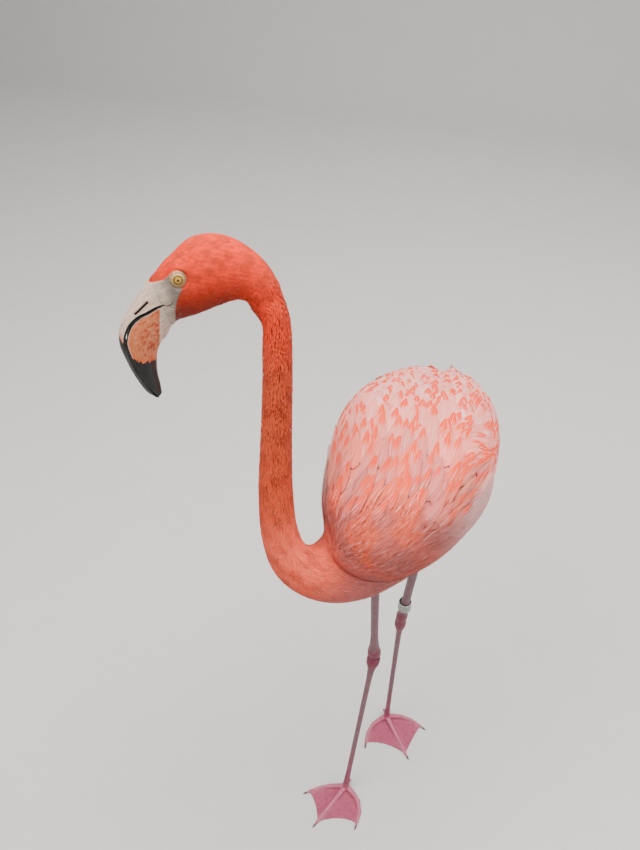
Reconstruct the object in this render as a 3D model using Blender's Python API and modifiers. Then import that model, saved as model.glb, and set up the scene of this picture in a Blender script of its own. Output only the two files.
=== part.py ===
"""American flamingo, life size, standing with its neck and head curved to its own right.

Frame: metres, +Z up, floor at Z = 0. The chest faces -Y and the bird's left side is +X.
The body is measured from a point on the floor below the middle of the trunk; the parent
empty moves the whole bird so that the origin is at the bottom centre of its bounding box.
"""

import math

import bmesh
import bpy
import numpy as np
from mathutils import Matrix, Vector

# ------------------------------------------------------------------ driving dimensions
GAP = 0.0003  # clearance kept between touching solids
ORIGIN_SHIFT = (0.0805, -0.0144, 0.0)  # from the trunk's middle to the box's middle

# Trunk, wings and tail share one surface. Each station, from chest to feather tips, is
# (y, sideways place of its middle, height of its middle, half width, height above the
# middle, depth below it, extra half width low on the flanks). The chest leans towards the
# side that the neck turns to.
BODY_STATIONS = (
    (-0.2325, -0.0102, 0.7915, 0.0000, 0.0000, 0.0000, 0.0000),
    (-0.2183, -0.0093, 0.7906, 0.0389, 0.0398, 0.0322, 0.0047),
    (-0.1803, -0.0046, 0.7868, 0.0635, 0.0692, 0.0550, 0.0104),
    (-0.1282, 0.0011, 0.7811, 0.0825, 0.0872, 0.0758, 0.0180),
    (-0.0618, 0.0049, 0.7735, 0.0957, 0.0939, 0.0939, 0.0294),
    (0.0093, 0.0040, 0.7631, 0.0986, 0.0844, 0.1033, 0.0379),
    (0.0756, 0.0040, 0.7489, 0.0967, 0.0683, 0.0976, 0.0417),
    (0.1372, 0.0049, 0.7337, 0.0853, 0.0493, 0.0777, 0.0284),
    (0.1913, 0.0049, 0.7195, 0.0692, 0.0332, 0.0455, 0.0133),
    (0.2377, 0.0049, 0.7072, 0.0493, 0.0171, 0.0199, 0.0047),
    (0.2719, 0.0049, 0.6977, 0.0284, 0.0057, 0.0057, 0.0000),
)
BODY_RINGS = 27
BODY_SIDES = 32
BODY_FINE_ROWS = 400  # rows of the smooth surface that the rings are taken from
CHEST_FRONT = 0.01  # length of the rounded front of the chest
BACK_POWER = 2.2  # 2 is an ellipse, more is squarer
BELLY_POWER = 1.88  # under 2 is keeled
TRUNK_LAST_RING = 19
TAIL_LAST_RING = 25

# Folded wing: a shell that lies on the body surface.
WING_FIRST_RING = 5
WING_LAST_RING = 26
WING_COLUMNS = 7
WING_LIFT = 0.0018  # clear of the trunk's facets
WING_RIM = 0.0012
WING_THICKNESS = 0.0075
WING_FADE_CENTRE = 0.9  # twice the share of the wing's length where it is thickest
WING_FADE_POWER = 4  # how late the wing thins towards its ends
# (share of the wing's length, lower edge, upper edge), edges as degrees round the body
WING_EDGES = (
    (0.00, 10.0, 34.0),
    (0.10, -12.0, 56.0),
    (0.30, -22.0, 72.0),
    (0.60, -16.0, 80.0),
    (0.85, 0.0, 84.0),
    (1.00, 22.0, 78.0),
)

# Neck: (x, y, z, radius) from inside the chest up to the nape.
NECK_ROUTE = (
    (-0.0131, -0.1225, 0.7214, 0.0588),
    (-0.0406, -0.1661, 0.7204, 0.0483),
    (-0.0662, -0.1965, 0.7318, 0.0379),
    (-0.0880, -0.2126, 0.7489, 0.0299),
    (-0.1041, -0.2183, 0.7697, 0.0251),
    (-0.1164, -0.2135, 0.8010, 0.0222),
    (-0.1240, -0.2012, 0.8503, 0.0202),
    (-0.1259, -0.1879, 0.9138, 0.0180),
    (-0.1259, -0.1765, 0.9764, 0.0165),
    (-0.1268, -0.1671, 1.0285, 0.0160),
    (-0.1335, -0.1538, 1.0703, 0.0161),
)
NECK_SAMPLES = 44
NECK_SIDES = 16
NECK_CUTS = (0.26, 0.44, 0.62, 0.81, 1.0)  # shares of the route; the first is the chest
NAPE_STEP = 0.012  # the neck's last stretch runs straight into the skull

# Head frame: origin midway between the eyes, x forward, y to its left, z up.
HEAD_PLACE = (-0.2216, -0.1784, 1.1167)
HEAD_TURN = math.radians(-153.9)
HEAD_ROLL = math.radians(13.4)
# Stations of skull and bill: crown side (x, z), throat side (x, z), half width.
HEAD_STATIONS = (
    ((-0.0998, -0.0228), (-0.0640, -0.0314), 0.0181),
    ((-0.0934, -0.0074), (-0.0588, -0.0316), 0.0184),
    ((-0.0857, 0.0047), (-0.0540, -0.0320), 0.0191),
    ((-0.0713, 0.0197), (-0.0482, -0.0332), 0.0206),
    ((-0.0493, 0.0330), (-0.0366, -0.0366), 0.0226),
    ((-0.0304, 0.0362), (-0.0251, -0.0404), 0.0239),
    ((-0.0133, 0.0324), (-0.0133, -0.0437), 0.0235),
    ((0.0010, 0.0218), (-0.0043, -0.0454), 0.0222),
    ((0.0136, 0.0107), (0.0031, -0.0471), 0.0197),
    ((0.0248, 0.0005), (0.0101, -0.0507), 0.0171),
)
BILL_STATIONS = (
    ((0.0248, 0.0005), (0.0101, -0.0507), 0.0171),
    ((0.0446, -0.0229), (0.0181, -0.0625), 0.0152),
    ((0.0622, -0.0478), (0.0248, -0.0692), 0.0142),
    ((0.0651, -0.0635), (0.0291, -0.0777), 0.0133),
    ((0.0612, -0.0839), (0.0316, -0.0904), 0.0114),
    ((0.0540, -0.1054), (0.0322, -0.1035), 0.0090),
    ((0.0447, -0.1228), (0.0312, -0.1149), 0.0061),
    ((0.0360, -0.1296), (0.0310, -0.1236), 0.0028),
)
HEAD_SIDES = 20
HEAD_RINGS = 17
BILL_RINGS = 18
HEAD_POWER = 2.1  # of the ovals, 2 is an ellipse
# Line of the closed mouth, seen from the side, from its corner to the tip.
GAPE = (
    (-0.0043, -0.0200),
    (0.0090, -0.0228),
    (0.0166, -0.0249),
    (0.0235, -0.0272),
    (0.0329, -0.0320),
    (0.0417, -0.0361),
    (0.0498, -0.0427),
    (0.0557, -0.0520),
    (0.0586, -0.0624),
    (0.0572, -0.0726),
    (0.0548, -0.0851),
    (0.0512, -0.0969),
    (0.0458, -0.1086),
    (0.0405, -0.1196),
    (0.0350, -0.1310),
    (0.0320, -0.1400),
)
GAPE_SAMPLES = 26
GAPE_BLOCK = [(0.10, -0.16), (0.10, 0.04), (-0.01, 0.04)]  # corners in front of the mouth
GAPE_REACH = 0.04  # each way sideways
EYE_RADIUS = 0.0081
EYE_SIDEWAYS = 0.0157  # of each eyeball's centre
EYE_SEGMENTS = 14
EYE_RINGS = 8

# Legs: points at the ankle, inside the body above it, and where the toes meet.
LEGS = {
    "right": {"ankle": (-0.0225, -0.042, 0.337), "hip": (-0.0273, -0.0780, 0.7062),
              "toes": (-0.046, -0.115, 0.014), "tibia_radius": 0.0067,
              "ankle_scale": 1.12},
    "left": {"ankle": (0.007, 0.036, 0.342), "hip": (0.0400, -0.0040, 0.7062),
             "toes": (-0.001, 0.043, 0.014), "tibia_radius": 0.0076,
             "ankle_scale": 1.0},
}
FEATHERED_DOWN_TO = 0.622  # height where the thigh's feathers end
THIGH_RADIUS = 0.034
THIGH_CUFF = 0.0022  # depth of the lowest feathers over the bare leg
THIGH_FLARE = (0.004, 0.12)  # first widening above the cuff, and share of the length there
# Shares of the thigh's radius and shares of its length, up to the hip.
THIGH_SHAPE = ((0.62, 0.42), (0.9, 0.75), (1.0, 1.0))
THIGH_CLEARANCE = 3 * GAP  # room for the facets of the curved trunk
TARSUS_RADIUS = 0.0047
# Shares of the bone's length and shares of its radius, from the top down.
TIBIA_SHAPE = ((0.998, 1.10), (0.80, 1.04), (0.60, 0.98), (0.38, 0.94), (0.22, 0.95))
TARSUS_SHAPE = ((0.16, 1.05), (0.35, 0.99), (0.55, 0.96), (0.75, 0.97), (0.90, 1.02))
# Distances above (+) and below (-) the ankle's middle, and the radius there.
ANKLE_SHAPE = (
    (0.0340, 0.0072),
    (0.0270, 0.0080),
    (0.0190, 0.0096),
    (0.0120, 0.0098),
    (0.0050, 0.0090),
    (-0.0020, 0.0096),
    (-0.0090, 0.0101),
    (-0.0160, 0.0096),
    (-0.0240, 0.0070),
    (-0.0320, 0.0054),
)
FOOT_NECK = 0.014  # length of the short upright piece over the toes
FOOT_NECK_SCALE = 1.15  # its share of the tarsus's radius
TURNED_SIDES = 12
LEG_SIDES = 12

# Feet: for each toe the direction it points in, in degrees, its length, and how far its
# middle bows sideways, which is to the left of its own direction where it is positive.
FEET = {
    "right": ((-61.0, 0.071, 0.015), (-115.0, 0.086, 0.0), (-158.0, 0.071, -0.005)),
    "left": ((-2.0, 0.071, 0.009), (-52.0, 0.086, 0.0), (-113.0, 0.071, -0.012)),
}
# (share of a toe's length, height of its middle, radius)
TOE_SHAPE = (
    (-0.03, 0.0078, 0.0058),
    (0.18, 0.0053, 0.0054),
    (0.42, 0.0042, 0.0047),
    (0.70, 0.0032, 0.0039),
    (0.93, 0.0024, 0.0030),
    (1.00, 0.0024, 0.0022),
)
CLAW_LENGTH = 0.0085
CLAW_DROP = 0.0015
CLAW_SIDES = 8
CLAW_PROFILE = ((0.0021, 0.0), (0.0017, 0.5), (0.0005, 1.0))
CLAW_GAP = 0.0009  # a claw points a little down, so its base needs more room
WEB_THICKNESS = 0.0026
# How far out the web's edge reaches between first and middle toe, then middle and last.
WEB_HOLLOW = {"right": (0.76, 0.86), "left": (0.96, 0.74)}
WEB_ALONG_TOE = (0.3, 0.55, 0.8, 0.95)
WEB_STEPS = 6
HIND_TOE = 0.016
HIND_TOE_DROPS = ((0.0, 0.0), (0.6, 0.001), (1.0, 0.006))  # shares of its length, drops
HIND_TOE_RADII = (0.0050, 0.0032, 0.0016)
SHANK_FOOT = 0.004  # height where the upright piece starts inside the foot
SHANK_RADII = (0.0068, 0.0066, 0.0054)

# Plain ring on the left leg.
BAND_ABOVE_ANKLE = 0.052
BAND_HEIGHT = 0.018
BAND_OUTER = 0.0110
BAND_WALL = 0.0013
BAND_SIDES = 28
BAND_TILT = math.radians(7.0)

# Making of the meshes.
SHARP_FROM = math.radians(45.0)  # steeper edges are shaded sharp
WELD_TURNED = 0.00005
WELD_TUBES = 0.00001


# ------------------------------------------------------------------------ scene set-up
def clear_scene():
    """Remove every object that the file opened with."""
    for old in list(bpy.data.objects):
        bpy.data.objects.remove(old, do_unlink=True)


def new_collection(name):
    """A collection linked to the scene."""
    made = bpy.data.collections.new(name)
    bpy.context.scene.collection.children.link(made)
    return made


def surface_finish(name, colour, roughness):
    """A Principled material of one colour."""
    finish = bpy.data.materials.new(name)
    finish.use_nodes = True
    shader = finish.node_tree.nodes["Principled BSDF"]
    shader.inputs["Base Color"].default_value = (*colour, 1.0)
    shader.inputs["Roughness"].default_value = roughness
    shader.inputs["Metallic"].default_value = 0.0
    return finish


clear_scene()
BIRD = new_collection("flamingo")
CUTTERS = new_collection("cutters")

PLUMAGE = surface_finish("plumage", (0.95, 0.42, 0.30), 0.8)
NECK_PLUMAGE = surface_finish("neck_plumage", (0.85, 0.25, 0.12), 0.8)
WING_PLUMAGE = surface_finish("wing_plumage", (0.95, 0.50, 0.42), 0.8)
LEG_SKIN = surface_finish("leg_skin", (0.42, 0.20, 0.24), 0.6)
ANKLE_SKIN = surface_finish("ankle_skin", (0.50, 0.08, 0.15), 0.6)
WEB_SKIN = surface_finish("web_skin", (0.60, 0.15, 0.24), 0.6)
PALE_BILL = surface_finish("pale_bill", (0.70, 0.60, 0.55), 0.4)
LOWER_BILL = surface_finish("lower_bill", (0.80, 0.35, 0.18), 0.4)
EYE_FINISH = surface_finish("eye", (0.45, 0.32, 0.08), 0.1)
CLAW_HORN = surface_finish("claw_horn", (0.10, 0.06, 0.06), 0.4)
BAND_PLASTIC = surface_finish("band_plastic", (0.35, 0.38, 0.36), 0.4)

ROOT = bpy.data.objects.new("flamingo", None)
ROOT.location = ORIGIN_SHIFT
BIRD.objects.link(ROOT)


# ----------------------------------------------------------------------------- helpers
def add_object(name, mesh, finish):
    """An object of the bird, shaded smooth except over sharp edges."""
    mesh.materials.clear()
    mesh.materials.append(finish)
    mesh.shade_smooth()
    mesh.set_sharp_from_angle(angle=SHARP_FROM)
    made = bpy.data.objects.new(name, mesh)
    made.parent = ROOT
    BIRD.objects.link(made)
    return made


def as_cutter(made):
    """Move an object into the cutters, which take no part in the model."""
    BIRD.objects.unlink(made)
    CUTTERS.objects.link(made)
    made.hide_render = True
    made.display_type = "WIRE"
    return made


def apply_boolean(made, other, operation):
    """Join, cut or trim an object by another, which is then removed."""
    change = made.modifiers.new(operation.lower(), "BOOLEAN")
    change.object = other
    change.operation = operation
    change.solver = "EXACT"
    bpy.context.view_layer.update()
    evaluated = made.evaluated_get(bpy.context.evaluated_depsgraph_get())
    result = bpy.data.meshes.new_from_object(evaluated)
    made.modifiers.clear()
    made.data = result
    bpy.data.objects.remove(other, do_unlink=True)
    return made


def curve_through(points, count):
    """Points evenly spaced on a smooth curve through rows of numbers of any width."""
    rows = np.asarray(points, dtype=float)
    steps = np.linalg.norm(np.diff(rows, axis=0), axis=1)
    at = np.concatenate(([0.0], np.cumsum(steps)))
    slopes = np.gradient(rows, at, axis=0)
    wanted = np.linspace(0.0, at[-1], count)
    index = np.clip(np.searchsorted(at, wanted, side="right") - 1, 0, len(at) - 2)
    span = (at[index + 1] - at[index])[:, None]
    t = (wanted[:, None] - at[index][:, None]) / span
    start_weight = 2 * t**3 - 3 * t**2 + 1
    start_slope = t**3 - 2 * t**2 + t
    end_weight = 3 * t**2 - 2 * t**3
    end_slope = t**3 - t**2
    return (start_weight * rows[index] + start_slope * span * slopes[index]
            + end_weight * rows[index + 1] + end_slope * span * slopes[index + 1])


def rounded(angle, power):
    """Cosine and sine of an angle on a superellipse."""
    c, s = math.cos(angle), math.sin(angle)
    across = math.copysign(abs(c) ** (2.0 / power), c)
    upward = math.copysign(abs(s) ** (2.0 / power), s)
    return across, upward


def solid_mesh(name, corners, faces, finish):
    """A closed object from corners and faces, with its faces turned outwards."""
    mesh = bpy.data.meshes.new(name)
    mesh.from_pydata(corners, [], faces)
    outward = bmesh.new()
    outward.from_mesh(mesh)
    bmesh.ops.recalc_face_normals(outward, faces=outward.faces)
    outward.to_mesh(mesh)
    outward.free()
    return add_object(name, mesh, finish)


def loft(name, rings, finish, poles=(None, None)):
    """A closed skin over rings of points; an end is a flat cap or runs to a pole."""
    count = len(rings[0])
    vertices = [Vector(p) for ring in rings for p in ring]
    faces = []
    for i in range(len(rings) - 1):
        for j in range(count):
            k = (j + 1) % count
            faces.append((i * count + j, i * count + k, (i + 1) * count + k, (i + 1) * count + j))
    last = (len(rings) - 1) * count
    for first, pole, flip in ((0, poles[0], True), (last, poles[1], False)):
        rim = [first + j for j in range(count)]
        if flip:
            rim.reverse()
        if pole is None:
            faces.append(tuple(rim))
            continue
        vertices.append(Vector(pole))
        tip = len(vertices) - 1
        for j in range(count):
            faces.append((rim[j], rim[(j + 1) % count], tip))
    return solid_mesh(name, vertices, faces, finish)


def turned(name, profile, base, top, finish, sides=TURNED_SIDES):
    """A turned solid between two points; the profile is (radius, share of the length)."""
    base, top = Vector(base), Vector(top)
    length = (top - base).length
    outline = [(0.0, profile[-1][1])] + list(reversed(profile)) + [(0.0, profile[0][1])]
    mesh = bpy.data.meshes.new(name)
    corners = [(radius, 0.0, share * length) for radius, share in outline]
    edges = [(i, i + 1) for i in range(len(corners) - 1)]
    mesh.from_pydata(corners, edges, [])
    made = add_object(name, mesh, finish)
    made.matrix_local = aimed(base, top - base)
    screw = made.modifiers.new("screw", "SCREW")
    screw.axis = "Z"
    screw.steps = sides
    screw.render_steps = sides
    screw.use_merge_vertices = True
    screw.merge_threshold = WELD_TURNED
    screw.use_smooth_shade = True
    return made


def aimed(place, direction):
    """A matrix at a place with its local z along a direction."""
    turn = Vector(direction).to_track_quat("Z", "X").to_matrix().to_4x4()
    return Matrix.Translation(place) @ turn


def along(start, end, distance):
    """The point at a distance from start towards end."""
    start, end = Vector(start), Vector(end)
    return start + (end - start).normalized() * distance


def baked(made):
    """The same object with its modifiers applied and its matrix kept."""
    bpy.context.view_layer.update()
    evaluated = made.evaluated_get(bpy.context.evaluated_depsgraph_get())
    made_mesh = bpy.data.meshes.new_from_object(evaluated)
    made.modifiers.clear()
    made.data = made_mesh
    return made


# --------------------------------------------------------------- trunk, tail and wings
def body_rows():
    """Stations of the body surface at even steps, rounded off at the chest."""
    first, second = BODY_STATIONS[0], BODY_STATIONS[1]
    mirrored = (*second[:3], -second[3], -second[4], -second[5], -second[6])
    rows = curve_through((mirrored, *BODY_STATIONS), BODY_FINE_ROWS)
    near_front = rows[:, 0] < first[0] + CHEST_FRONT
    start = int(np.argmin(np.where(near_front, np.abs(rows[:, 3]), 1.0)))
    rows = rows[start:]
    rows[0] = first
    steps = np.linalg.norm(np.diff(rows, axis=0), axis=1)
    at = np.concatenate(([0.0], np.cumsum(steps)))
    wanted = np.linspace(0.0, at[-1], BODY_RINGS)
    return np.stack([np.interp(wanted, at, column) for column in rows.T], axis=1)


BODY_ROWS = body_rows()


def body_point(row, degrees, lift=0.0):
    """A point round the body at one station, lifted off the surface."""
    y, sideways, middle, half_width, above, below, flank = row
    over = math.sin(math.radians(degrees)) > 0.0
    across, upward = rounded(math.radians(degrees), BACK_POWER if over else BELLY_POWER)
    height = above if over else below
    reach = half_width + flank * max(0.0, -upward) + lift
    return (sideways + across * reach, y, middle + upward * (height + lift))


def body_ring(row, lift=0.0):
    """A whole ring round the body at one station."""
    return [body_point(row, 360.0 * j / BODY_SIDES, lift) for j in range(BODY_SIDES)]


def body_solid(name, finish, lift=0.0):
    """The trunk: the body surface from the chest to the cut before the tail."""
    rings = [body_ring(row, lift) for row in BODY_ROWS[1:TRUNK_LAST_RING + 1]]
    y, sideways, middle = BODY_ROWS[0][:3]
    return loft(name, rings, finish, poles=((sideways, y - lift, middle), None))


def make_tail():
    """The tail, flattening to the feather tips."""
    rows = [row.copy() for row in BODY_ROWS[TRUNK_LAST_RING:TAIL_LAST_RING + 1]]
    rows[0][0] += GAP
    loft("tail", [body_ring(row) for row in rows], PLUMAGE)


def make_wing(side):
    """A folded wing: a thin shell over the body, thickest along its middle."""
    rows = BODY_ROWS[WING_FIRST_RING:WING_LAST_RING + 1]
    shares, lows, highs = np.array(WING_EDGES).T
    outer, inner = [], []
    for i, row in enumerate(rows):
        share = i / (len(rows) - 1)
        low = np.interp(share, shares, lows)
        high = np.interp(share, shares, highs)
        off_centre = abs(2.0 * share - WING_FADE_CENTRE)
        end_fade = math.sqrt(max(0.0, 1.0 - off_centre**WING_FADE_POWER))
        for j in range(WING_COLUMNS + 1):
            across = j / WING_COLUMNS
            degrees = low + (high - low) * across
            if side == "right":
                degrees = 180.0 - degrees
            belly = math.sqrt(math.sin(math.pi * across)) if 0 < j < WING_COLUMNS else 0.0
            thick = WING_RIM + WING_THICKNESS * belly * end_fade
            for points, lift in ((inner, WING_LIFT), (outer, WING_LIFT + thick)):
                points.append(body_point(row, degrees, lift))
    columns = WING_COLUMNS + 1
    total = len(inner)
    faces = []
    for i in range(len(rows) - 1):
        for j in range(WING_COLUMNS):
            a = i * columns + j
            quad = (a, a + 1, a + columns + 1, a + columns)
            faces.append(quad)
            faces.append(tuple(total + k for k in reversed(quad)))
    rim = [j for j in range(columns)]
    rim += [i * columns + WING_COLUMNS for i in range(1, len(rows))]
    rim += [(len(rows) - 1) * columns + j for j in range(WING_COLUMNS - 1, -1, -1)]
    rim += [i * columns for i in range(len(rows) - 2, 0, -1)]
    for a, b in zip(rim, rim[1:] + rim[:1]):
        faces.append((a, b, total + b, total + a))
    solid_mesh("wing_" + side, inner + outer, faces, WING_PLUMAGE)


# -------------------------------------------------------------------------------- neck
def round_rings(rows, sides, end_direction=None):
    """Round rings square to a route of rows (x, y, z, radius)."""
    places = rows[:, :3]
    tangents = np.gradient(places, axis=0)
    if end_direction is not None:
        tangents[-1] = end_direction
    rings = []
    for place, tangent, radius in zip(places, tangents, rows[:, 3]):
        frame = aimed(Vector(place), Vector(tangent))
        angles = [2.0 * math.pi * j / sides for j in range(sides)]
        rings.append([frame @ Vector((radius * math.cos(a), radius * math.sin(a), 0.0))
                      for a in angles])
    return rings


def parted(names, rings, cuts, finish_of):
    """Lofts end to end between the rings at the cuts, each a gap short of the next."""
    for name, start, end in zip(names, cuts, cuts[1:]):
        piece = [list(ring) for ring in rings[start:end + 1]]
        middle, following = sum(piece[0], Vector()), sum(piece[1], Vector())
        step = (following - middle).normalized() * GAP
        piece[0] = [p + step for p in piece[0]]
        loft(name, piece, finish_of[name])


def first_ring_frame(stations):
    """Middle of the first ring of a loft in the head's frame, and the way it faces."""
    crown, throat, _ = stations[0]
    middle = Vector(((crown[0] + throat[0]) / 2, 0.0, (crown[1] + throat[1]) / 2))
    slope = Vector((crown[0] - throat[0], 0.0, crown[1] - throat[1]))
    return middle, Vector((0.0, 1.0, 0.0)).cross(slope).normalized()


def neck_rows():
    """The neck's route as many rows up to the head's first ring, and its end direction."""
    head = head_matrix()
    middle, forward = first_ring_frame(HEAD_STATIONS)
    half_width = HEAD_STATIONS[0][2]
    before = head @ (middle - forward * NAPE_STEP)
    place = head @ middle
    route = [*NECK_ROUTE, (*before, half_width), (*place, half_width)]
    return curve_through(route, NECK_SAMPLES), place - before


def head_matrix():
    """From the head's frame to the bird's."""
    turn = Matrix.Rotation(HEAD_TURN, 4, "Z") @ Matrix.Rotation(HEAD_ROLL, 4, "X")
    return Matrix.Translation(HEAD_PLACE) @ turn


def neck_cuts():
    """Numbers of the neck's rings where it is parted."""
    return [round(share * (NECK_SAMPLES - 1)) for share in NECK_CUTS]


def neck_root(name, lift=0.0):
    """The wide root of the neck, which runs into the trunk up to its first cut."""
    rows, _ = neck_rows()
    rows[:, 3] += lift
    rings = round_rings(rows, NECK_SIDES)[:neck_cuts()[0] + 1]
    backward = Vector(rows[0][:3] - rows[1][:3]).normalized() * lift
    rings[0] = [p + backward for p in rings[0]]
    return loft(name, rings, PLUMAGE)


def make_neck():
    """The free part of the neck, in lengths."""
    rows, end_direction = neck_rows()
    rings = round_rings(rows, NECK_SIDES, end_direction)
    cuts = neck_cuts()
    names = [f"neck_{number}" for number in range(1, len(cuts))]
    parted(names, rings, cuts, dict.fromkeys(names, NECK_PLUMAGE))


# ---------------------------------------------------------------------- head and bill
def head_rings(stations, count):
    """Oval rings between a crown line and a throat line, in the head's frame."""
    flat = [(*crown, *throat, width) for crown, throat, width in stations]
    rings = []
    for top_x, top_z, low_x, low_z, half_width in curve_through(flat, count):
        middle = Vector(((top_x + low_x) / 2, 0.0, (top_z + low_z) / 2))
        upward = Vector(((top_x - low_x) / 2, 0.0, (top_z - low_z) / 2))
        ring = []
        for j in range(HEAD_SIDES):
            across, up = rounded(2.0 * math.pi * j / HEAD_SIDES, HEAD_POWER)
            ring.append(middle + upward * up + Vector((0.0, across * half_width, 0.0)))
        rings.append(ring)
    return rings


def eyeball(name, sideways, radius):
    """A ball at an eye's place in the head's frame."""
    ball = bmesh.new()
    bmesh.ops.create_uvsphere(ball, u_segments=EYE_SEGMENTS, v_segments=EYE_RINGS, radius=radius)
    mesh = bpy.data.meshes.new(name)
    ball.to_mesh(mesh)
    ball.free()
    mesh.transform(Matrix.Translation((0.0, sideways, 0.0)) @ Matrix.Rotation(math.pi / 2, 4, "X"))
    made = add_object(name, mesh, EYE_FINISH)
    made.matrix_local = head_matrix()
    return made


def make_head():
    """The skull, open where the eyeballs sit."""
    rings = head_rings(HEAD_STATIONS, HEAD_RINGS)
    _, forward = first_ring_frame(HEAD_STATIONS)
    rings[0] = [p + forward * GAP for p in rings[0]]
    head = loft("head", rings, NECK_PLUMAGE)
    head.matrix_local = head_matrix()
    for side, sign in (("left", 1.0), ("right", -1.0)):
        socket = as_cutter(eyeball("socket", sign * EYE_SIDEWAYS, EYE_RADIUS + GAP))
        apply_boolean(head, socket, "DIFFERENCE")
        eyeball("eye_" + side, sign * EYE_SIDEWAYS, EYE_RADIUS)


def gape_cutter(shift):
    """A block in front of the closed mouth's line, moved by a small shift."""
    line = curve_through(GAPE, GAPE_SAMPLES)
    outline = [(x + shift[0], z + shift[1]) for x, z in line]
    outline += GAPE_BLOCK
    sides = [[Vector((x, y, z)) for x, z in outline] for y in (-GAPE_REACH, GAPE_REACH)]
    count = len(outline)
    faces = [tuple(range(count)), tuple(range(2 * count - 1, count - 1, -1))]
    for j in range(count):
        k = (j + 1) % count
        faces.append((j, j + count, k + count, k))
    made = solid_mesh("gape", sides[0] + sides[1], faces, LOWER_BILL)
    made.matrix_local = head_matrix()
    return as_cutter(made)


def make_bill():
    """The bill, whole, then parted along the mouth into its two halves."""
    rings = head_rings(BILL_STATIONS, BILL_RINGS)
    _, forward = first_ring_frame(BILL_STATIONS)
    rings[0] = [p + forward * GAP for p in rings[0]]
    for name, finish, operation, shift in (
        ("bill_upper", PALE_BILL, "INTERSECT", (0.0, 0.0)),
        ("bill_lower", LOWER_BILL, "DIFFERENCE", (-GAP, -GAP)),
    ):
        half = loft(name, rings, finish)
        half.matrix_local = head_matrix()
        apply_boolean(half, gape_cutter(shift), operation)


# -------------------------------------------------------------------------------- legs
def make_thigh(side, leg):
    """The feathered part of the leg, cut where it meets the trunk."""
    ankle, hip = Vector(leg["ankle"]), Vector(leg["hip"])
    share = (FEATHERED_DOWN_TO - ankle.z) / (hip.z - ankle.z)
    base = ankle.lerp(hip, share)
    low = leg["tibia_radius"] + THIGH_CUFF
    widening, flare_share = THIGH_FLARE
    profile = [(low, 0.0), (low + widening, flare_share)]
    profile += [(THIGH_RADIUS * scale, length_share) for scale, length_share in THIGH_SHAPE]
    thigh = baked(turned("thigh_" + side, profile, base, hip, PLUMAGE))
    for cutter in (body_solid("trunk_gap", PLUMAGE, THIGH_CLEARANCE),
                   neck_root("root_gap", THIGH_CLEARANCE)):
        apply_boolean(thigh, as_cutter(cutter), "DIFFERENCE")
    return base


def leg_rows(leg, feather_line):
    """The bare leg from the thigh's feathers to the foot, as rows (x, y, z, radius)."""
    ankle, toes = Vector(leg["ankle"]), Vector(leg["toes"])
    radius = leg["tibia_radius"]
    rows = []
    tibia_length = (feather_line - ankle).length
    for share, scale in TIBIA_SHAPE:
        rows.append((along(ankle, feather_line, tibia_length * share), radius * scale))
    for distance, size in ANKLE_SHAPE:
        way = feather_line if distance > 0.0 else toes
        rows.append((along(ankle, way, abs(distance)), size * leg["ankle_scale"]))
    tarsus_length = (toes - ankle).length
    for share, scale in TARSUS_SHAPE:
        rows.append((along(ankle, toes, tarsus_length * share), TARSUS_RADIUS * scale))
    rows.append((along(toes, ankle, FOOT_NECK), TARSUS_RADIUS * FOOT_NECK_SCALE))
    return np.array([(*place, size) for place, size in rows])


def make_leg(side, leg):
    """Thigh, tibia, ankle and tarsus; returns where the foot takes over."""
    feather_line = make_thigh(side, leg)
    rows = leg_rows(leg, feather_line)
    rings = round_rings(rows, LEG_SIDES)
    ankle_start = len(TIBIA_SHAPE)
    ankle_end = ankle_start + len(ANKLE_SHAPE) - 1
    names = [part + side for part in ("tibia_", "ankle_", "tarsus_")]
    finish_of = dict(zip(names, (LEG_SKIN, ANKLE_SKIN, LEG_SKIN)))
    parted(names, rings, [0, ankle_start, ankle_end, len(rows) - 1], finish_of)
    return Vector(rows[-1][:3])


# -------------------------------------------------------------------------------- feet
def toe_tube(name, points, radii, finish):
    """A tapering toe: a bevelled curve made into a welded mesh."""
    curve = bpy.data.curves.new(name, "CURVE")
    curve.dimensions = "3D"
    curve.bevel_depth = 1.0
    curve.bevel_resolution = 1
    curve.use_fill_caps = True
    spline = curve.splines.new("POLY")
    spline.points.add(len(points) - 1)
    for point, place, radius in zip(spline.points, points, radii):
        point.co = (*place, 1.0)
        point.radius = radius
    drawn = bpy.data.objects.new(name, curve)
    BIRD.objects.link(drawn)
    bpy.context.view_layer.update()
    evaluated = drawn.evaluated_get(bpy.context.evaluated_depsgraph_get())
    mesh = bpy.data.meshes.new_from_object(evaluated)
    bpy.data.objects.remove(drawn, do_unlink=True)
    weld = bmesh.new()
    weld.from_mesh(mesh)
    bmesh.ops.remove_doubles(weld, verts=weld.verts, dist=WELD_TUBES)
    bmesh.ops.recalc_face_normals(weld, faces=weld.faces)
    weld.to_mesh(mesh)
    weld.free()
    return add_object(name, mesh, finish)


def toe_place(hub, toe, share):
    """The point on the floor below a toe, at a share of its length."""
    degrees, length, bow = toe
    ahead = Vector((math.cos(math.radians(degrees)), math.sin(math.radians(degrees)), 0.0))
    leftward = Vector((-ahead.y, ahead.x, 0.0))
    return hub + ahead * length * share + leftward * bow * math.sin(math.pi * share)


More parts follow.
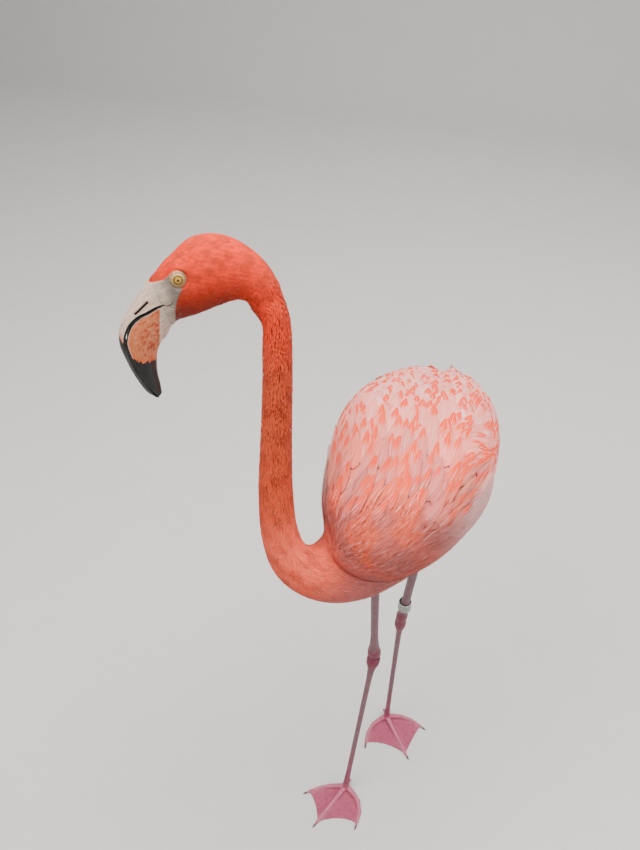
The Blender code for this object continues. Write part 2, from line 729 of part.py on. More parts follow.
def web_outline(hub, toes, hollows):
    """Floor outline of the web: along the outer toes, hollow between each two."""
    outline = [hub]
    outline += [toe_place(hub, toes[0], share) for share in WEB_ALONG_TOE[:-1]]
    tips = [toe_place(hub, toe, WEB_ALONG_TOE[-1]) for toe in toes]
    for a, b, hollow in zip(tips, tips[1:], hollows):
        pull = hub + ((a + b) / 2 - hub) * hollow
        for step in range(WEB_STEPS + 1):
            t = step / WEB_STEPS
            outline.append(a * (1 - t) ** 2 + b * t**2 + pull * 2 * t * (1 - t))
    outline += [toe_place(hub, toes[-1], share) for share in reversed(WEB_ALONG_TOE[:-1])]
    return outline


def flat_plate(name, outline, low, high):
    """A plate between two heights over an outline on the floor."""
    corners = [Vector((p.x, p.y, z)) for z in (low, high) for p in outline]
    count = len(outline)
    faces = [tuple(range(count)), tuple(range(2 * count - 1, count - 1, -1))]
    faces += [(j, j + count, (j + 1) % count + count, (j + 1) % count) for j in range(count)]
    return solid_mesh(name, corners, faces, WEB_SKIN)


def make_foot(side, leg, foot_top):
    """A webbed foot in one solid, flat underneath, with its claws as separate pieces."""
    toes_meet = Vector(leg["toes"])
    hub = Vector((toes_meet.x, toes_meet.y, 0.0))
    toes = FEET[side]
    pieces = []
    for number, toe in enumerate(toes, 1):
        points = [toe_place(hub, toe, share) + Vector((0.0, 0.0, height))
                  for share, height, _ in TOE_SHAPE]
        radii = [radius for _, _, radius in TOE_SHAPE]
        pieces.append(toe_tube(f"toe_{number}", points, radii, WEB_SKIN))
        ahead = (points[-1] - points[-2]).normalized()
        claw_start = points[-1] + ahead * CLAW_GAP
        claw_end = claw_start + ahead * CLAW_LENGTH - Vector((0.0, 0.0, CLAW_DROP))
        turned(f"claw_{side}_{number}", CLAW_PROFILE, claw_start, claw_end, CLAW_HORN, CLAW_SIDES)
    behind = hub - toe_place(hub, toes[1], 1.0)
    behind = behind.normalized() * HIND_TOE
    hind_points = [toes_meet + behind * share - Vector((0.0, 0.0, drop))
                   for share, drop in HIND_TOE_DROPS]
    pieces.append(toe_tube("hind_toe", hind_points, HIND_TOE_RADII, WEB_SKIN))
    shank = [hub + Vector((0.0, 0.0, SHANK_FOOT)), toes_meet, along(foot_top, toes_meet, GAP)]
    pieces.append(toe_tube("shank", shank, SHANK_RADII, WEB_SKIN))
    foot = flat_plate("foot_" + side, web_outline(hub, toes, WEB_HOLLOW[side]), 0.0, WEB_THICKNESS)
    for piece in pieces:
        apply_boolean(foot, as_cutter(piece), "UNION")
    reach = 2 * max(length for _, length, _ in toes)
    square = [hub + Vector((x * reach, y * reach, 0.0)) for x, y in
              ((-1, -1), (1, -1), (1, 1), (-1, 1))]
    under = flat_plate("under", square, -reach, 0.0)
    apply_boolean(foot, as_cutter(under), "DIFFERENCE")


def make_band():
    """A loose plain ring round the left leg, just above the ankle."""
    leg = LEGS["left"]
    ankle, hip = Vector(leg["ankle"]), Vector(leg["hip"])
    centre = along(ankle, hip, BAND_ABOVE_ANKLE)
    half = BAND_HEIGHT / 2
    inner = BAND_OUTER - BAND_WALL
    corners = [(BAND_OUTER, 0.0, half), (BAND_OUTER, 0.0, -half),
               (inner, 0.0, -half), (inner, 0.0, half)]
    mesh = bpy.data.meshes.new("leg_band")
    mesh.from_pydata(corners, [(0, 1), (1, 2), (2, 3), (3, 0)], [])
    band = add_object("leg_band", mesh, BAND_PLASTIC)
    band.matrix_local = aimed(centre, hip - ankle) @ Matrix.Rotation(BAND_TILT, 4, "Y")
    screw = band.modifiers.new("screw", "SCREW")
    screw.axis = "Z"
    screw.steps = BAND_SIDES
    screw.render_steps = BAND_SIDES
    screw.use_merge_vertices = True
    screw.merge_threshold = WELD_TURNED


def main():
    trunk = body_solid("trunk", PLUMAGE)
    apply_boolean(trunk, as_cutter(neck_root("root")), "UNION")
    make_neck()
    make_tail()
    for side in ("left", "right"):
        make_wing(side)
    make_head()
    make_bill()
    for side, leg in LEGS.items():
        make_foot(side, leg, make_leg(side, leg))
    make_band()


main()
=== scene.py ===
"""Looks of the standing flamingo: skin, feathers, bill, eyes, legs, feet, claws and ring.

Frame: metres, +Z up, floor at Z = 0. The chest faces -Y and the bird's left side is +X.
Head frame: origin midway between the eyes, x forward, y to the bird's left, z up.
"""

import math

import bmesh
import bpy
import numpy as np
from mathutils import Matrix, Vector
from mathutils.bvhtree import BVHTree


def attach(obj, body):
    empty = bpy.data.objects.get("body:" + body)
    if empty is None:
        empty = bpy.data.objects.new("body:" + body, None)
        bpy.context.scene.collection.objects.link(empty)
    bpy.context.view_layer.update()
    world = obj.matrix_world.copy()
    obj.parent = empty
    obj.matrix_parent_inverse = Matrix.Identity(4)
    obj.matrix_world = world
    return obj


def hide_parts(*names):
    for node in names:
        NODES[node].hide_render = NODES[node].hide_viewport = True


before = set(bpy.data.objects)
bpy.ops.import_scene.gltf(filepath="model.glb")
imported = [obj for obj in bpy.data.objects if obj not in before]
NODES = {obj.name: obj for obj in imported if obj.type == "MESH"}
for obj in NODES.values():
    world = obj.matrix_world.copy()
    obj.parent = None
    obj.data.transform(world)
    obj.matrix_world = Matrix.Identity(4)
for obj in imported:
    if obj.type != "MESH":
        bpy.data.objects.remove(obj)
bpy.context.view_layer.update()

DRAW = np.random.default_rng(11)

# ------------------------------------------------------------------ driving dimensions
ORIGIN_SHIFT = np.array((0.0805, -0.0144, 0.0))  # from the trunk's middle to the origin

# Middle line of the trunk from chest to tail: (x, y, z) in the trunk's own measure.
BODY_LINE = (
    (-0.0102, -0.2325, 0.7915),
    (0.0049, -0.0618, 0.7735),
    (0.0040, 0.0756, 0.7489),
    (0.0049, 0.1913, 0.7195),
    (0.0049, 0.2719, 0.6977),
)
# Neck: (x, y, z, radius) from inside the chest up to the nape.
NECK_ROUTE = (
    (-0.0131, -0.1225, 0.7214, 0.0588),
    (-0.0406, -0.1661, 0.7204, 0.0483),
    (-0.0662, -0.1965, 0.7318, 0.0379),
    (-0.0880, -0.2126, 0.7489, 0.0299),
    (-0.1041, -0.2183, 0.7697, 0.0251),
    (-0.1164, -0.2135, 0.8010, 0.0222),
    (-0.1240, -0.2012, 0.8503, 0.0202),
    (-0.1259, -0.1879, 0.9138, 0.0180),
    (-0.1259, -0.1765, 0.9764, 0.0165),
    (-0.1268, -0.1671, 1.0285, 0.0160),
    (-0.1335, -0.1538, 1.0703, 0.0161),
)
NAPE_STEP = 0.012  # the neck's last stretch runs straight into the skull
HEAD_PLACE = (-0.2216, -0.1784, 1.1167)
HEAD_TURN = math.radians(-153.9)
HEAD_ROLL = math.radians(13.4)
# Stations of skull and bill: crown side (x, z), throat side (x, z), half width.
SKULL_STATIONS = (
    ((-0.0998, -0.0228), (-0.0640, -0.0314), 0.0181),
    ((-0.0934, -0.0074), (-0.0588, -0.0316), 0.0184),
    ((-0.0857, 0.0047), (-0.0540, -0.0320), 0.0191),
    ((-0.0713, 0.0197), (-0.0482, -0.0332), 0.0206),
    ((-0.0493, 0.0330), (-0.0366, -0.0366), 0.0226),
    ((-0.0304, 0.0362), (-0.0251, -0.0404), 0.0239),
    ((-0.0133, 0.0324), (-0.0133, -0.0437), 0.0235),
    ((0.0010, 0.0218), (-0.0043, -0.0454), 0.0222),
    ((0.0136, 0.0107), (0.0031, -0.0471), 0.0197),
    ((0.0248, 0.0005), (0.0101, -0.0507), 0.0171),
    ((0.0446, -0.0229), (0.0181, -0.0625), 0.0152),
    ((0.0622, -0.0478), (0.0248, -0.0692), 0.0142),
    ((0.0651, -0.0635), (0.0291, -0.0777), 0.0133),
    ((0.0612, -0.0839), (0.0316, -0.0904), 0.0114),
    ((0.0540, -0.1054), (0.0322, -0.1035), 0.0090),
    ((0.0447, -0.1228), (0.0312, -0.1149), 0.0061),
    ((0.0360, -0.1296), (0.0310, -0.1236), 0.0028),
)
BILL_STARTS_AT = 9  # number of the station where the horn of the bill begins
SKULL_POWER = 2.1  # of the ovals, 2 is an ellipse
# The mouth's line from inside the face to beyond the tip: (x, z) in the head's frame.
GAPE = (
    (-0.0043, -0.0200),
    (0.0090, -0.0228),
    (0.0166, -0.0249),
    (0.0235, -0.0272),
    (0.0329, -0.0320),
    (0.0417, -0.0361),
    (0.0498, -0.0427),
    (0.0557, -0.0520),
    (0.0586, -0.0624),
    (0.0572, -0.0726),
    (0.0548, -0.0851),
    (0.0512, -0.0969),
    (0.0458, -0.1086),
    (0.0405, -0.1196),
    (0.0350, -0.1310),
    (0.0320, -0.1400),
)
EYE_RADIUS = 0.0081
EYE_SIDEWAYS = 0.0151  # of each eyeball's centre

BODY_VOXEL = 0.0030  # grain of the merged surface of the body
LEG_VOXEL = 0.0012  # the same for the legs
BODY_PASSES = 18  # of smoothing over the body
LEG_PASSES = 8
BODY_PARTS = ("trunk", "tail", "wing", "neck", "thigh", "head")
LEG_PARTS = ("tibia", "ankle", "tarsus", "foot")

# Depth of the coat over the skin.
BODY_COAT = 0.0040
NECK_COAT = 0.0020
HEAD_COAT = 0.0009
SKULL_DIP = 0.0050  # how much deeper the body's skin runs on under the head's


# ----------------------------------------------------------------------------- numbers
def smooth(value, low, high):
    """0 below low, 1 above high, with a soft change between."""
    t = np.clip((np.asarray(value, dtype=float) - low) / (high - low), 0.0, 1.0)
    return t * t * (3.0 - 2.0 * t)


def unit(rows):
    """Rows of vectors at length 1."""
    return rows / np.maximum(np.linalg.norm(rows, axis=-1, keepdims=True), 1e-12)


def dot(a, b):
    """Dot product of each row."""
    return np.sum(a * b, axis=-1, keepdims=True)


def mixed(a, b, share):
    """Rows of a and b mixed by a share for each row."""
    share = np.asarray(share, dtype=float)[..., None]
    return np.asarray(a) * (1.0 - share) + np.asarray(b) * share


def clouds(points, size, seed=0.0):
    """Soft even noise between 0 and 1 with patches about as large as the size."""
    p = np.asarray(points) * (2.0 * math.pi / size)
    total = np.zeros(len(p))
    for i in range(6):
        a = seed + 1.7 * i
        axis = np.array((math.sin(a * 3.1 + 1.0), math.sin(a * 5.3 + 2.0), math.sin(a * 7.7)))
        total += np.sin(p @ (axis / np.linalg.norm(axis)) * (0.6 + 0.17 * i) + a * 4.0)
    return np.clip(0.5 + total / 6.0, 0.0, 1.0)


def curve_through(points, count):
    """Points evenly spaced on a smooth curve through rows of numbers of any width."""
    rows = np.asarray(points, dtype=float)
    steps = np.linalg.norm(np.diff(rows, axis=0), axis=1)
    at = np.concatenate(([0.0], np.cumsum(steps)))
    return curve_at(rows, at, np.linspace(0.0, at[-1], count))


def curve_at(rows, at, wanted):
    """Rows on a smooth curve at the wanted distances along it."""
    slopes = np.gradient(rows, at, axis=0)
    index = np.clip(np.searchsorted(at, wanted, side="right") - 1, 0, len(at) - 2)
    span = (at[index + 1] - at[index])[:, None]
    t = (wanted[:, None] - at[index][:, None]) / span
    start_weight = 2 * t**3 - 3 * t**2 + 1
    start_slope = t**3 - 2 * t**2 + t
    end_weight = 3 * t**2 - 2 * t**3
    end_slope = t**3 - t**2
    return (start_weight * rows[index] + start_slope * span * slopes[index]
            + end_weight * rows[index + 1] + end_slope * span * slopes[index + 1])


def colour(red, green, blue):
    """A colour given as shares of full screen brightness, made linear for light."""
    def linear(share):
        return share / 12.92 if share <= 0.04045 else ((share + 0.055) / 1.055) ** 2.4

    return np.array((linear(red), linear(green), linear(blue)))


def linked_head_matrix():
    """From the head's frame to the row frame."""
    turn = Matrix.Rotation(HEAD_TURN, 4, "Z") @ Matrix.Rotation(HEAD_ROLL, 4, "X")
    return Matrix.Translation(Vector(HEAD_PLACE) + Vector(ORIGIN_SHIFT)) @ turn


HEAD_MATRIX = np.array(linked_head_matrix())
HEAD_INVERSE = np.linalg.inv(HEAD_MATRIX)


def moved(matrix, points):
    """Points carried by a 4 by 4 matrix."""
    return points @ matrix[:3, :3].T + matrix[:3, 3]


# ------------------------------------------------------------------------------ meshes
def new_mesh(name, points, *faces):
    """A smooth mesh from an array of points and arrays of faces of one size each."""
    mesh = bpy.data.meshes.new(name)
    corners = np.concatenate([f.ravel() for f in faces]).astype(np.int32)
    sizes = np.concatenate([np.full(len(f), f.shape[1]) for f in faces])
    starts = np.concatenate(([0], np.cumsum(sizes)[:-1])).astype(np.int32)
    mesh.vertices.add(len(points))
    mesh.vertices.foreach_set("co", np.ascontiguousarray(points, dtype=np.float32).ravel())
    mesh.loops.add(len(corners))
    mesh.loops.foreach_set("vertex_index", corners)
    mesh.polygons.add(len(sizes))
    mesh.polygons.foreach_set("loop_start", starts)
    mesh.update(calc_edges=True)
    mesh.shade_smooth()
    return mesh


def add_values(mesh, name, values):
    """A named attribute of one, three or four numbers for each point of a mesh."""
    values = np.asarray(values, dtype=np.float32)
    kinds = {1: ("FLOAT", "value"), 3: ("FLOAT_VECTOR", "vector"), 4: ("FLOAT_COLOR", "color")}
    width = 1 if values.ndim == 1 else values.shape[1]
    kind, field = kinds[width]
    made = mesh.attributes.new(name, kind, "POINT")
    made.data.foreach_set(field, np.ascontiguousarray(values).ravel())


def add_piece(name, mesh, finishes, replaced=()):
    """A piece of the bird: placed, finished, riding on the one body."""
    for finish in finishes:
        mesh.materials.append(finish)
    made = bpy.data.objects.new(name, mesh)
    bpy.context.scene.collection.objects.link(made)
    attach(made, "root")
    if replaced:
        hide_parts(*replaced)


def grid_faces(rows, columns, closed=False, first=0):
    """Quads over a grid of points, closed round its columns or open."""
    i, j = np.meshgrid(np.arange(rows - 1), np.arange(columns if closed else columns - 1),
                       indexing="ij")
    k = (j + 1) % columns
    quads = np.stack((i * columns + j, i * columns + k, (i + 1) * columns + k,
                      (i + 1) * columns + j), axis=-1)
    return quads.reshape(-1, 4) + first


def fan_faces(first, count, centre, forward):
    """Triangles from a closed ring of points to one point, turned either way round."""
    behind = first + np.arange(count)
    ahead = first + (np.arange(count) + 1) % count
    pair = (behind, ahead) if forward else (ahead, behind)
    return np.stack((*pair, np.full(count, centre)), axis=1)


def point_normals(points, faces):
    """A smooth normal at each point of a mesh of quads."""
    corner = points[faces]
    across = np.cross(corner[:, 2] - corner[:, 0], corner[:, 3] - corner[:, 1])
    normals = np.zeros_like(points)
    for k in range(4):
        np.add.at(normals, faces[:, k], across)
    return unit(normals)


def neighbour_middles(faces, number):
    """A function that gives the middle of each point's neighbours."""
    a = np.concatenate([faces[:, k] for k in range(4)])
    b = np.concatenate([faces[:, (k + 1) % 4] for k in range(4)])
    count = np.bincount(a, minlength=number) + np.bincount(b, minlength=number)

    def middles(points):
        sums = [np.bincount(a, points[b, axis], number) + np.bincount(b, points[a, axis], number)
                for axis in range(3)]
        return np.stack(sums, axis=1) / count[:, None]

    return middles


def relaxed(points, faces, passes, share=0.5):
    """Points drawn towards their neighbours' middle and part of the way back again."""
    middles = neighbour_middles(faces, len(points))
    for number in range(passes):
        pull = share if number % 2 == 0 else -share * 0.94
        points = points + (middles(points) - points) * pull
    return points


def filled(points, faces, weights, passes):
    """Hollows drawn outwards where the weights say so, as feathers bridge a fold."""
    middles = neighbour_middles(faces, len(points))
    for number in range(passes):
        if number % 12 == 0:
            normals = point_normals(points, faces)
        out = dot(middles(points) - points, normals)
        points = points + normals * np.clip(out, 0.0, None) * weights[:, None]
    return points


def merged_surface(names, voxel, passes):
    """One closed skin of quads over several nodes, without their gaps."""
    whole = bmesh.new()
    for name in names:
        whole.from_mesh(NODES[name].data)
    source = bpy.data.meshes.new("merged")
    whole.to_mesh(source)
    whole.free()
    carrier = bpy.data.objects.new("merged", source)
    bpy.context.scene.collection.objects.link(carrier)
    change = carrier.modifiers.new("voxels", "REMESH")
    change.mode = "VOXEL"
    change.voxel_size = voxel
    change.adaptivity = 0.0
    bpy.context.view_layer.update()
    evaluated = carrier.evaluated_get(bpy.context.evaluated_depsgraph_get())
    mesh = evaluated.to_mesh()
    points = np.zeros(len(mesh.vertices) * 3)
    mesh.vertices.foreach_get("co", points)
    corners = np.zeros(len(mesh.loops), dtype=np.int64)
    mesh.loops.foreach_get("vertex_index", corners)
    evaluated.to_mesh_clear()
    bpy.data.objects.remove(carrier, do_unlink=True)
    points, faces = largest_island(points.reshape(-1, 3), corners.reshape(-1, 4))
    return relaxed(points, faces, passes), faces


def largest_island(points, faces):
    """The outermost shell of a mesh of quads, without any shell inside it."""
    label = np.arange(len(points))
    while True:
        lowest = label[faces].min(axis=1)
        fresh = label.copy()
        for k in range(4):
            np.minimum.at(fresh, faces[:, k], lowest)
        fresh = fresh[fresh]
        if np.array_equal(fresh, label):
            break
        label = fresh
    kept_label = np.bincount(label[faces[:, 0]]).argmax()
    kept = label == kept_label
    number = np.cumsum(kept) - 1
    return points[kept], number[faces[kept[faces[:, 0]]]]


# -------------------------------------------------------------------- neck and trunk
def first_ring():
    """Middle of the skull's first ring and the way forward through it, in the head's frame."""
    crown, throat, _ = SKULL_STATIONS[0]
    middle = np.array((crown[0] + throat[0], 0.0, crown[1] + throat[1])) / 2
    rise = np.array((crown[0] - throat[0], 0.0, crown[1] - throat[1]))
    return middle, unit(np.cross((0.0, 1.0, 0.0), rise))


def neck_rows(count):
    """The neck's middle line and radius up to the skull, in the row frame."""
    middle, forward = first_ring()
    half_width = SKULL_STATIONS[0][2]
    last = moved(HEAD_MATRIX, np.stack((middle - forward * NAPE_STEP, middle)))
    route = np.array(NECK_ROUTE)
    route[:, :3] += ORIGIN_SHIFT
    ends = np.column_stack((last, (half_width, half_width)))
    return curve_through(np.concatenate((route, ends)), count)


NECK_LINE = neck_rows(170)
NECK_BASE = np.array((0.037, -0.178, 0.722))  # where the neck leaves the chest
CHEST_FOLD = (0.110, 0.200)  # distances from there over which the fold at the chest is filled
THROAT_FOLD = (0.016, 0.034)  # the same for the fold between throat and neck
FOLD_PASSES = 260  # of the filling
SOFT_PASSES = 240  # of the smoothing that takes the crease out of the chest
FAN_CENTRE = np.array((0.004, -0.220, 0.740))  # the trunk's feathers point away from it
NECK_SEAM = (0.17, 0.29)  # shares of the neck over which its coat turns into the chest's
ABOVE_TRUNK = 0.92  # all that is higher is neck or head


def along_neck(points):
    """Share of the neck's length, distance in radii, way towards the body, turn round it."""
    share = np.zeros(len(points))
    distance = np.zeros(len(points))
    line = NECK_LINE[:, :3]
    for start in range(0, len(points), 20000):
        some = points[start:start + 20000]
        gap = np.linalg.norm(some[:, None, :] - line[None, :, :], axis=2)
        near = gap.argmin(axis=1)
        share[start:start + 20000] = near
        distance[start:start + 20000] = gap[np.arange(len(some)), near] / NECK_LINE[near, 3]
    near = share.astype(int)
    tangent = unit(np.gradient(line, axis=0))
    side = unit(np.cross(tangent[near], (0.0, 0.0, 1.0) + tangent[near] * 0.01))
    over = np.cross(side, tangent[near])
    out = points - line[near]
    turn = np.arctan2(dot(out, over)[:, 0], dot(out, side)[:, 0])
    return share / (len(line) - 1), distance, -tangent[near], turn


def round_trunk(points):
    """Angle above the trunk's side in degrees, and share of the way from chest to tail."""
    line = np.array(BODY_LINE) + ORIGIN_SHIFT
    y = points[:, 1]
    aside = points[:, 0] - np.interp(y, line[:, 1], line[:, 0])
    over = points[:, 2] - np.interp(y, line[:, 1], line[:, 2])
    share = (y - line[0, 1]) / (line[-1, 1] - line[0, 1])
    return np.degrees(np.arctan2(over, np.abs(aside))), share, aside


def on_neck(points):
    """1 on the free neck and head, 0 on the trunk, and between the two where they join."""
    share, distance, _, _ = along_neck(points)
    joined = smooth(share, *NECK_SEAM) * (1.0 - smooth(distance, 1.4, 2.4))
    return np.maximum(joined, points[:, 2] > ABOVE_TRUNK)


def beyond_nape(points):
    """Distance past the skull's first ring in metres, below 0 on the neck under it."""
    middle, forward = first_ring()
    return (moved(HEAD_INVERSE, points) - middle) @ forward


def on_skull(points):
    """1 on the skull and bill, 0 on the neck and trunk."""
    _, distance, _, _ = along_neck(points)
    past = smooth(beyond_nape(points), -0.002, 0.008)
    return np.maximum(past, smooth(distance, 1.6, 2.2)) * (points[:, 2] > ABOVE_TRUNK)


def wing_patch(points, middle, reach):
    """1 in a patch of the left wing, fading to 0 round it.

    Middle and reach: angle above the trunk's side, share of the way from chest to tail.
    """
    up, back, aside = round_trunk(points)
    spread = ((up - middle[0]) / reach[0]) ** 2 + ((back - middle[1]) / reach[1]) ** 2
    return np.exp(-spread) * (aside > 0.0)


def coverts_patch(points):
    """Share of the curved orange feathers high on the left wing."""
    return wing_patch(points, (40.0, 0.38), (15.0, 0.085))


def downy_patch(points):
    """Share of the loose dusky down at the left shoulder."""
    return wing_patch(points, (33.0, 0.20), (12.0, 0.055))


def lay_of_coat(points):
    """The way that feathers point: down the neck, fanning out over the trunk to the tail."""
    homeward = along_neck(points)[2]
    neck = on_neck(points)
    fan = unit(points - FAN_CENTRE)
    tailward = np.broadcast_to(unit(np.array((-0.07, 1.0, -0.16))), points.shape)
    gone = np.linalg.norm(points - FAN_CENTRE, axis=1)
    trunk = unit(mixed(fan, tailward, 0.6 * smooth(gone, 0.07, 0.20)
                       + 0.4 * smooth(points[:, 1], -0.25, -0.05)))
    outward = np.broadcast_to((1.0, 0.35, -0.45), points.shape)
    trunk = unit(mixed(trunk, outward, 0.75 * coverts_patch(points)))
    thigh = 1.0 - smooth(points[:, 2], 0.630, 0.668)
    down = np.broadcast_to((0.0, 0.15, -1.0), points.shape)
    return unit(mixed(mixed(trunk, down, thigh), homeward, neck))


# ---------------------------------------------------------------------------- markings
HEAD_ORANGE = colour(1.00, 0.21, 0.02)
# Dark rust orange: painted shade on the lower cheek, and random rusty patches on the neck.
RUST_MOTTLE_AND_CHEEK_SHADE = colour(0.40, 0.10, 0.02)
NECK_ORANGE = colour(0.64, 0.19, 0.05)
NECK_PALE = colour(0.86, 0.35, 0.18)
SALMON = colour(0.98, 0.42, 0.31)
SHOULDER = colour(0.96, 0.40, 0.29)
PALE_PINK = colour(1.00, 0.60, 0.54)
GREY_PINK = colour(0.94, 0.58, 0.57)
WHITE_PINK = colour(1.00, 0.82, 0.81)
VIVID_ORANGE = colour(1.00, 0.26, 0.04)
# Muted pink: random patches, and painted shade under the trunk.
MUTED_PINK_AND_BELLY_SHADE = colour(0.76, 0.46, 0.45)
DUSKY_DOWN = colour(0.86, 0.52, 0.44)


# The folded wing's lower edge: share of the way back, angle above the trunk's side.
WING_EDGE = (
    (0.00, 44.0), (0.06, 36.0), (0.12, 25.0), (0.30, 20.0),
    (0.42, 6.0), (0.55, -8.0), (0.75, -10.0), (1.00, 15.0),
)


def wing_edge(back):
    """Angle round the trunk in degrees of the folded wing's lower edge."""
    shares, degrees = np.array(WING_EDGE).T
    return np.interp(back, shares, degrees)


def plumage_tint(points):
    """The coat's ground colour at points of the neck and trunk."""
    up, back, _ = round_trunk(points)
    share, _, _, turn = along_neck(points)
    neck = on_neck(points)
    blotch = clouds(points, 0.055, 1.0)
    fine = clouds(points, 0.018, 5.0)
    front = 1.0 - smooth(back + 0.09 * (fine - 0.5), 0.08, 0.30)
    over = mixed(PALE_PINK, GREY_PINK, 0.55 * smooth(blotch, 0.5, 0.8))
    salmon = mixed(SHOULDER, MUTED_PINK_AND_BELLY_SHADE, 0.6 * smooth(blotch, 0.55, 0.8))
    over = mixed(over, salmon, np.clip(0.12 + 0.88 * front, 0.0, 1.0))
    over = mixed(over, DUSKY_DOWN, 0.75 * downy_patch(points))
    over = mixed(over, VIVID_ORANGE, 0.85 * coverts_patch(points))
    low = 1.0 - smooth(up - wing_edge(back), -5.0, 4.0)
    under = mixed(SALMON, MUTED_PINK_AND_BELLY_SHADE, np.clip(0.35 + 0.5 * blotch, 0.0, 1.0))
    strip = smooth(back, 0.06, 0.24) * smooth(up, -34.0, -4.0)
    strip = np.maximum(strip, smooth(back, 0.40, 0.65))
    under = mixed(under, WHITE_PINK, 0.9 * strip)
    trunk = mixed(over, under, low)
    near_neck = np.exp(-((np.linalg.norm(points - NECK_BASE, axis=1) / 0.075) ** 2))
    trunk = mixed(trunk, SALMON, 0.8 * near_neck * smooth(up, -50.0, 5.0))
    # Muted pink low under the trunk: painted shade on the underside.
    trunk = mixed(trunk, MUTED_PINK_AND_BELLY_SHADE, 0.8 * (1.0 - smooth(up, -75.0, -35.0)) * (1.0 - strip))
    throat = mixed(NECK_ORANGE, NECK_PALE, 0.35 + 0.35 * np.sin(turn))
    throat = mixed(throat, SALMON, 1.0 - smooth(share, 0.36, 0.52))
    throat = mixed(throat, RUST_MOTTLE_AND_CHEEK_SHADE, 0.4 * smooth(fine, 0.5, 0.8))
    nape = head_feather_tint(moved(HEAD_INVERSE, points))
    throat = mixed(throat, nape, smooth(share, 0.80, 0.94))
    return mixed(trunk, throat, neck)


# ----------------------------------------------------------------------------- surface
class Ground:
    """A surface that feathers grow on, with smooth normals."""

    def __init__(self, points, faces):
        self.points = points
        self.faces = faces
        self.tree = BVHTree.FromPolygons(points.tolist(), faces.tolist())
        normals = point_normals(points, faces)
        self.normals = unit(normals[faces].sum(axis=1))
        corner = points[faces]
        self.middles = corner.mean(axis=1)
        crossed = np.cross(corner[:, 2] - corner[:, 0], corner[:, 3] - corner[:, 1])
        self.areas = np.linalg.norm(crossed, axis=1) / 2

    def nearest(self, points):
        """Nearest places on the surface and the smooth normals there."""
        hits = [self.tree.find_nearest(p) for p in points.tolist()]
        places = np.array([hit[0] for hit in hits])
        return places, self.normals[[hit[2] for hit in hits]]

    def scatter(self, count, weights):
        """Evenly strewn places; the weights say how thickly each face is strewn."""
        cell = np.floor((self.middles - self.points.min(axis=0)) / 0.006).astype(int)
        order = np.argsort(spread_bits(cell))
        mass = np.cumsum((self.areas * weights)[order])
        picks = (np.arange(count) + DRAW.random(count)) / count * mass[-1]
        chosen = order[np.clip(np.searchsorted(mass, picks), 0, len(order) - 1)]
        corner = self.points[self.faces[chosen]]
        a, b = DRAW.random((2, count, 1))
        lower = corner[:, 0] * (1 - a) + corner[:, 1] * a
        upper = corner[:, 3] * (1 - a) + corner[:, 2] * a
        return lower * (1 - b) + upper * b


def spread_bits(cells):
    """One number for each cell, so that cells near in space have near numbers."""
    total = np.zeros(len(cells), dtype=np.int64)
    for bit in range(8):
        for axis in range(3):
            total |= ((cells[:, axis] >> bit) & 1) << (3 * bit + axis)
    return total


# ---------------------------------------------------------------------------- feathers
def pointed(t):
    """Outline of a narrow feather with a pointed end: half width at a share of its length."""
    return np.sqrt(np.clip(t * 5.0 + 0.12, 0.0, 1.0)) * (1.0 - t**2.2) ** 0.8


def lobed(t):
    """Outline of a broad feather with a round end."""
    return np.sqrt(np.clip(t * 4.0 + 0.15, 0.0, 1.0)) * (1.0 - t**3.2) ** 0.55


def blade(t):
    """Outline of a long flight feather, even in width and blunt at its end."""
    return np.clip(0.35 + t * 3.0, 0.0, 1.0) * (1.0 - t**5.0) ** 0.6


def strand(t):
    """Outline of a hairlike lock."""
    return 1.0 - 0.85 * t**1.5


def tangent_to(normals, ways):
    """Ways laid flat on the surface."""
    return unit(ways - normals * dot(ways, normals))


OFF_SURFACE = 0.45  # share of a step by which a feather may leave the surface
PATCH_HALF_WIDTH = 0.0014  # of each feather's patch on the unwrap
PATCH_LENGTH = 0.003


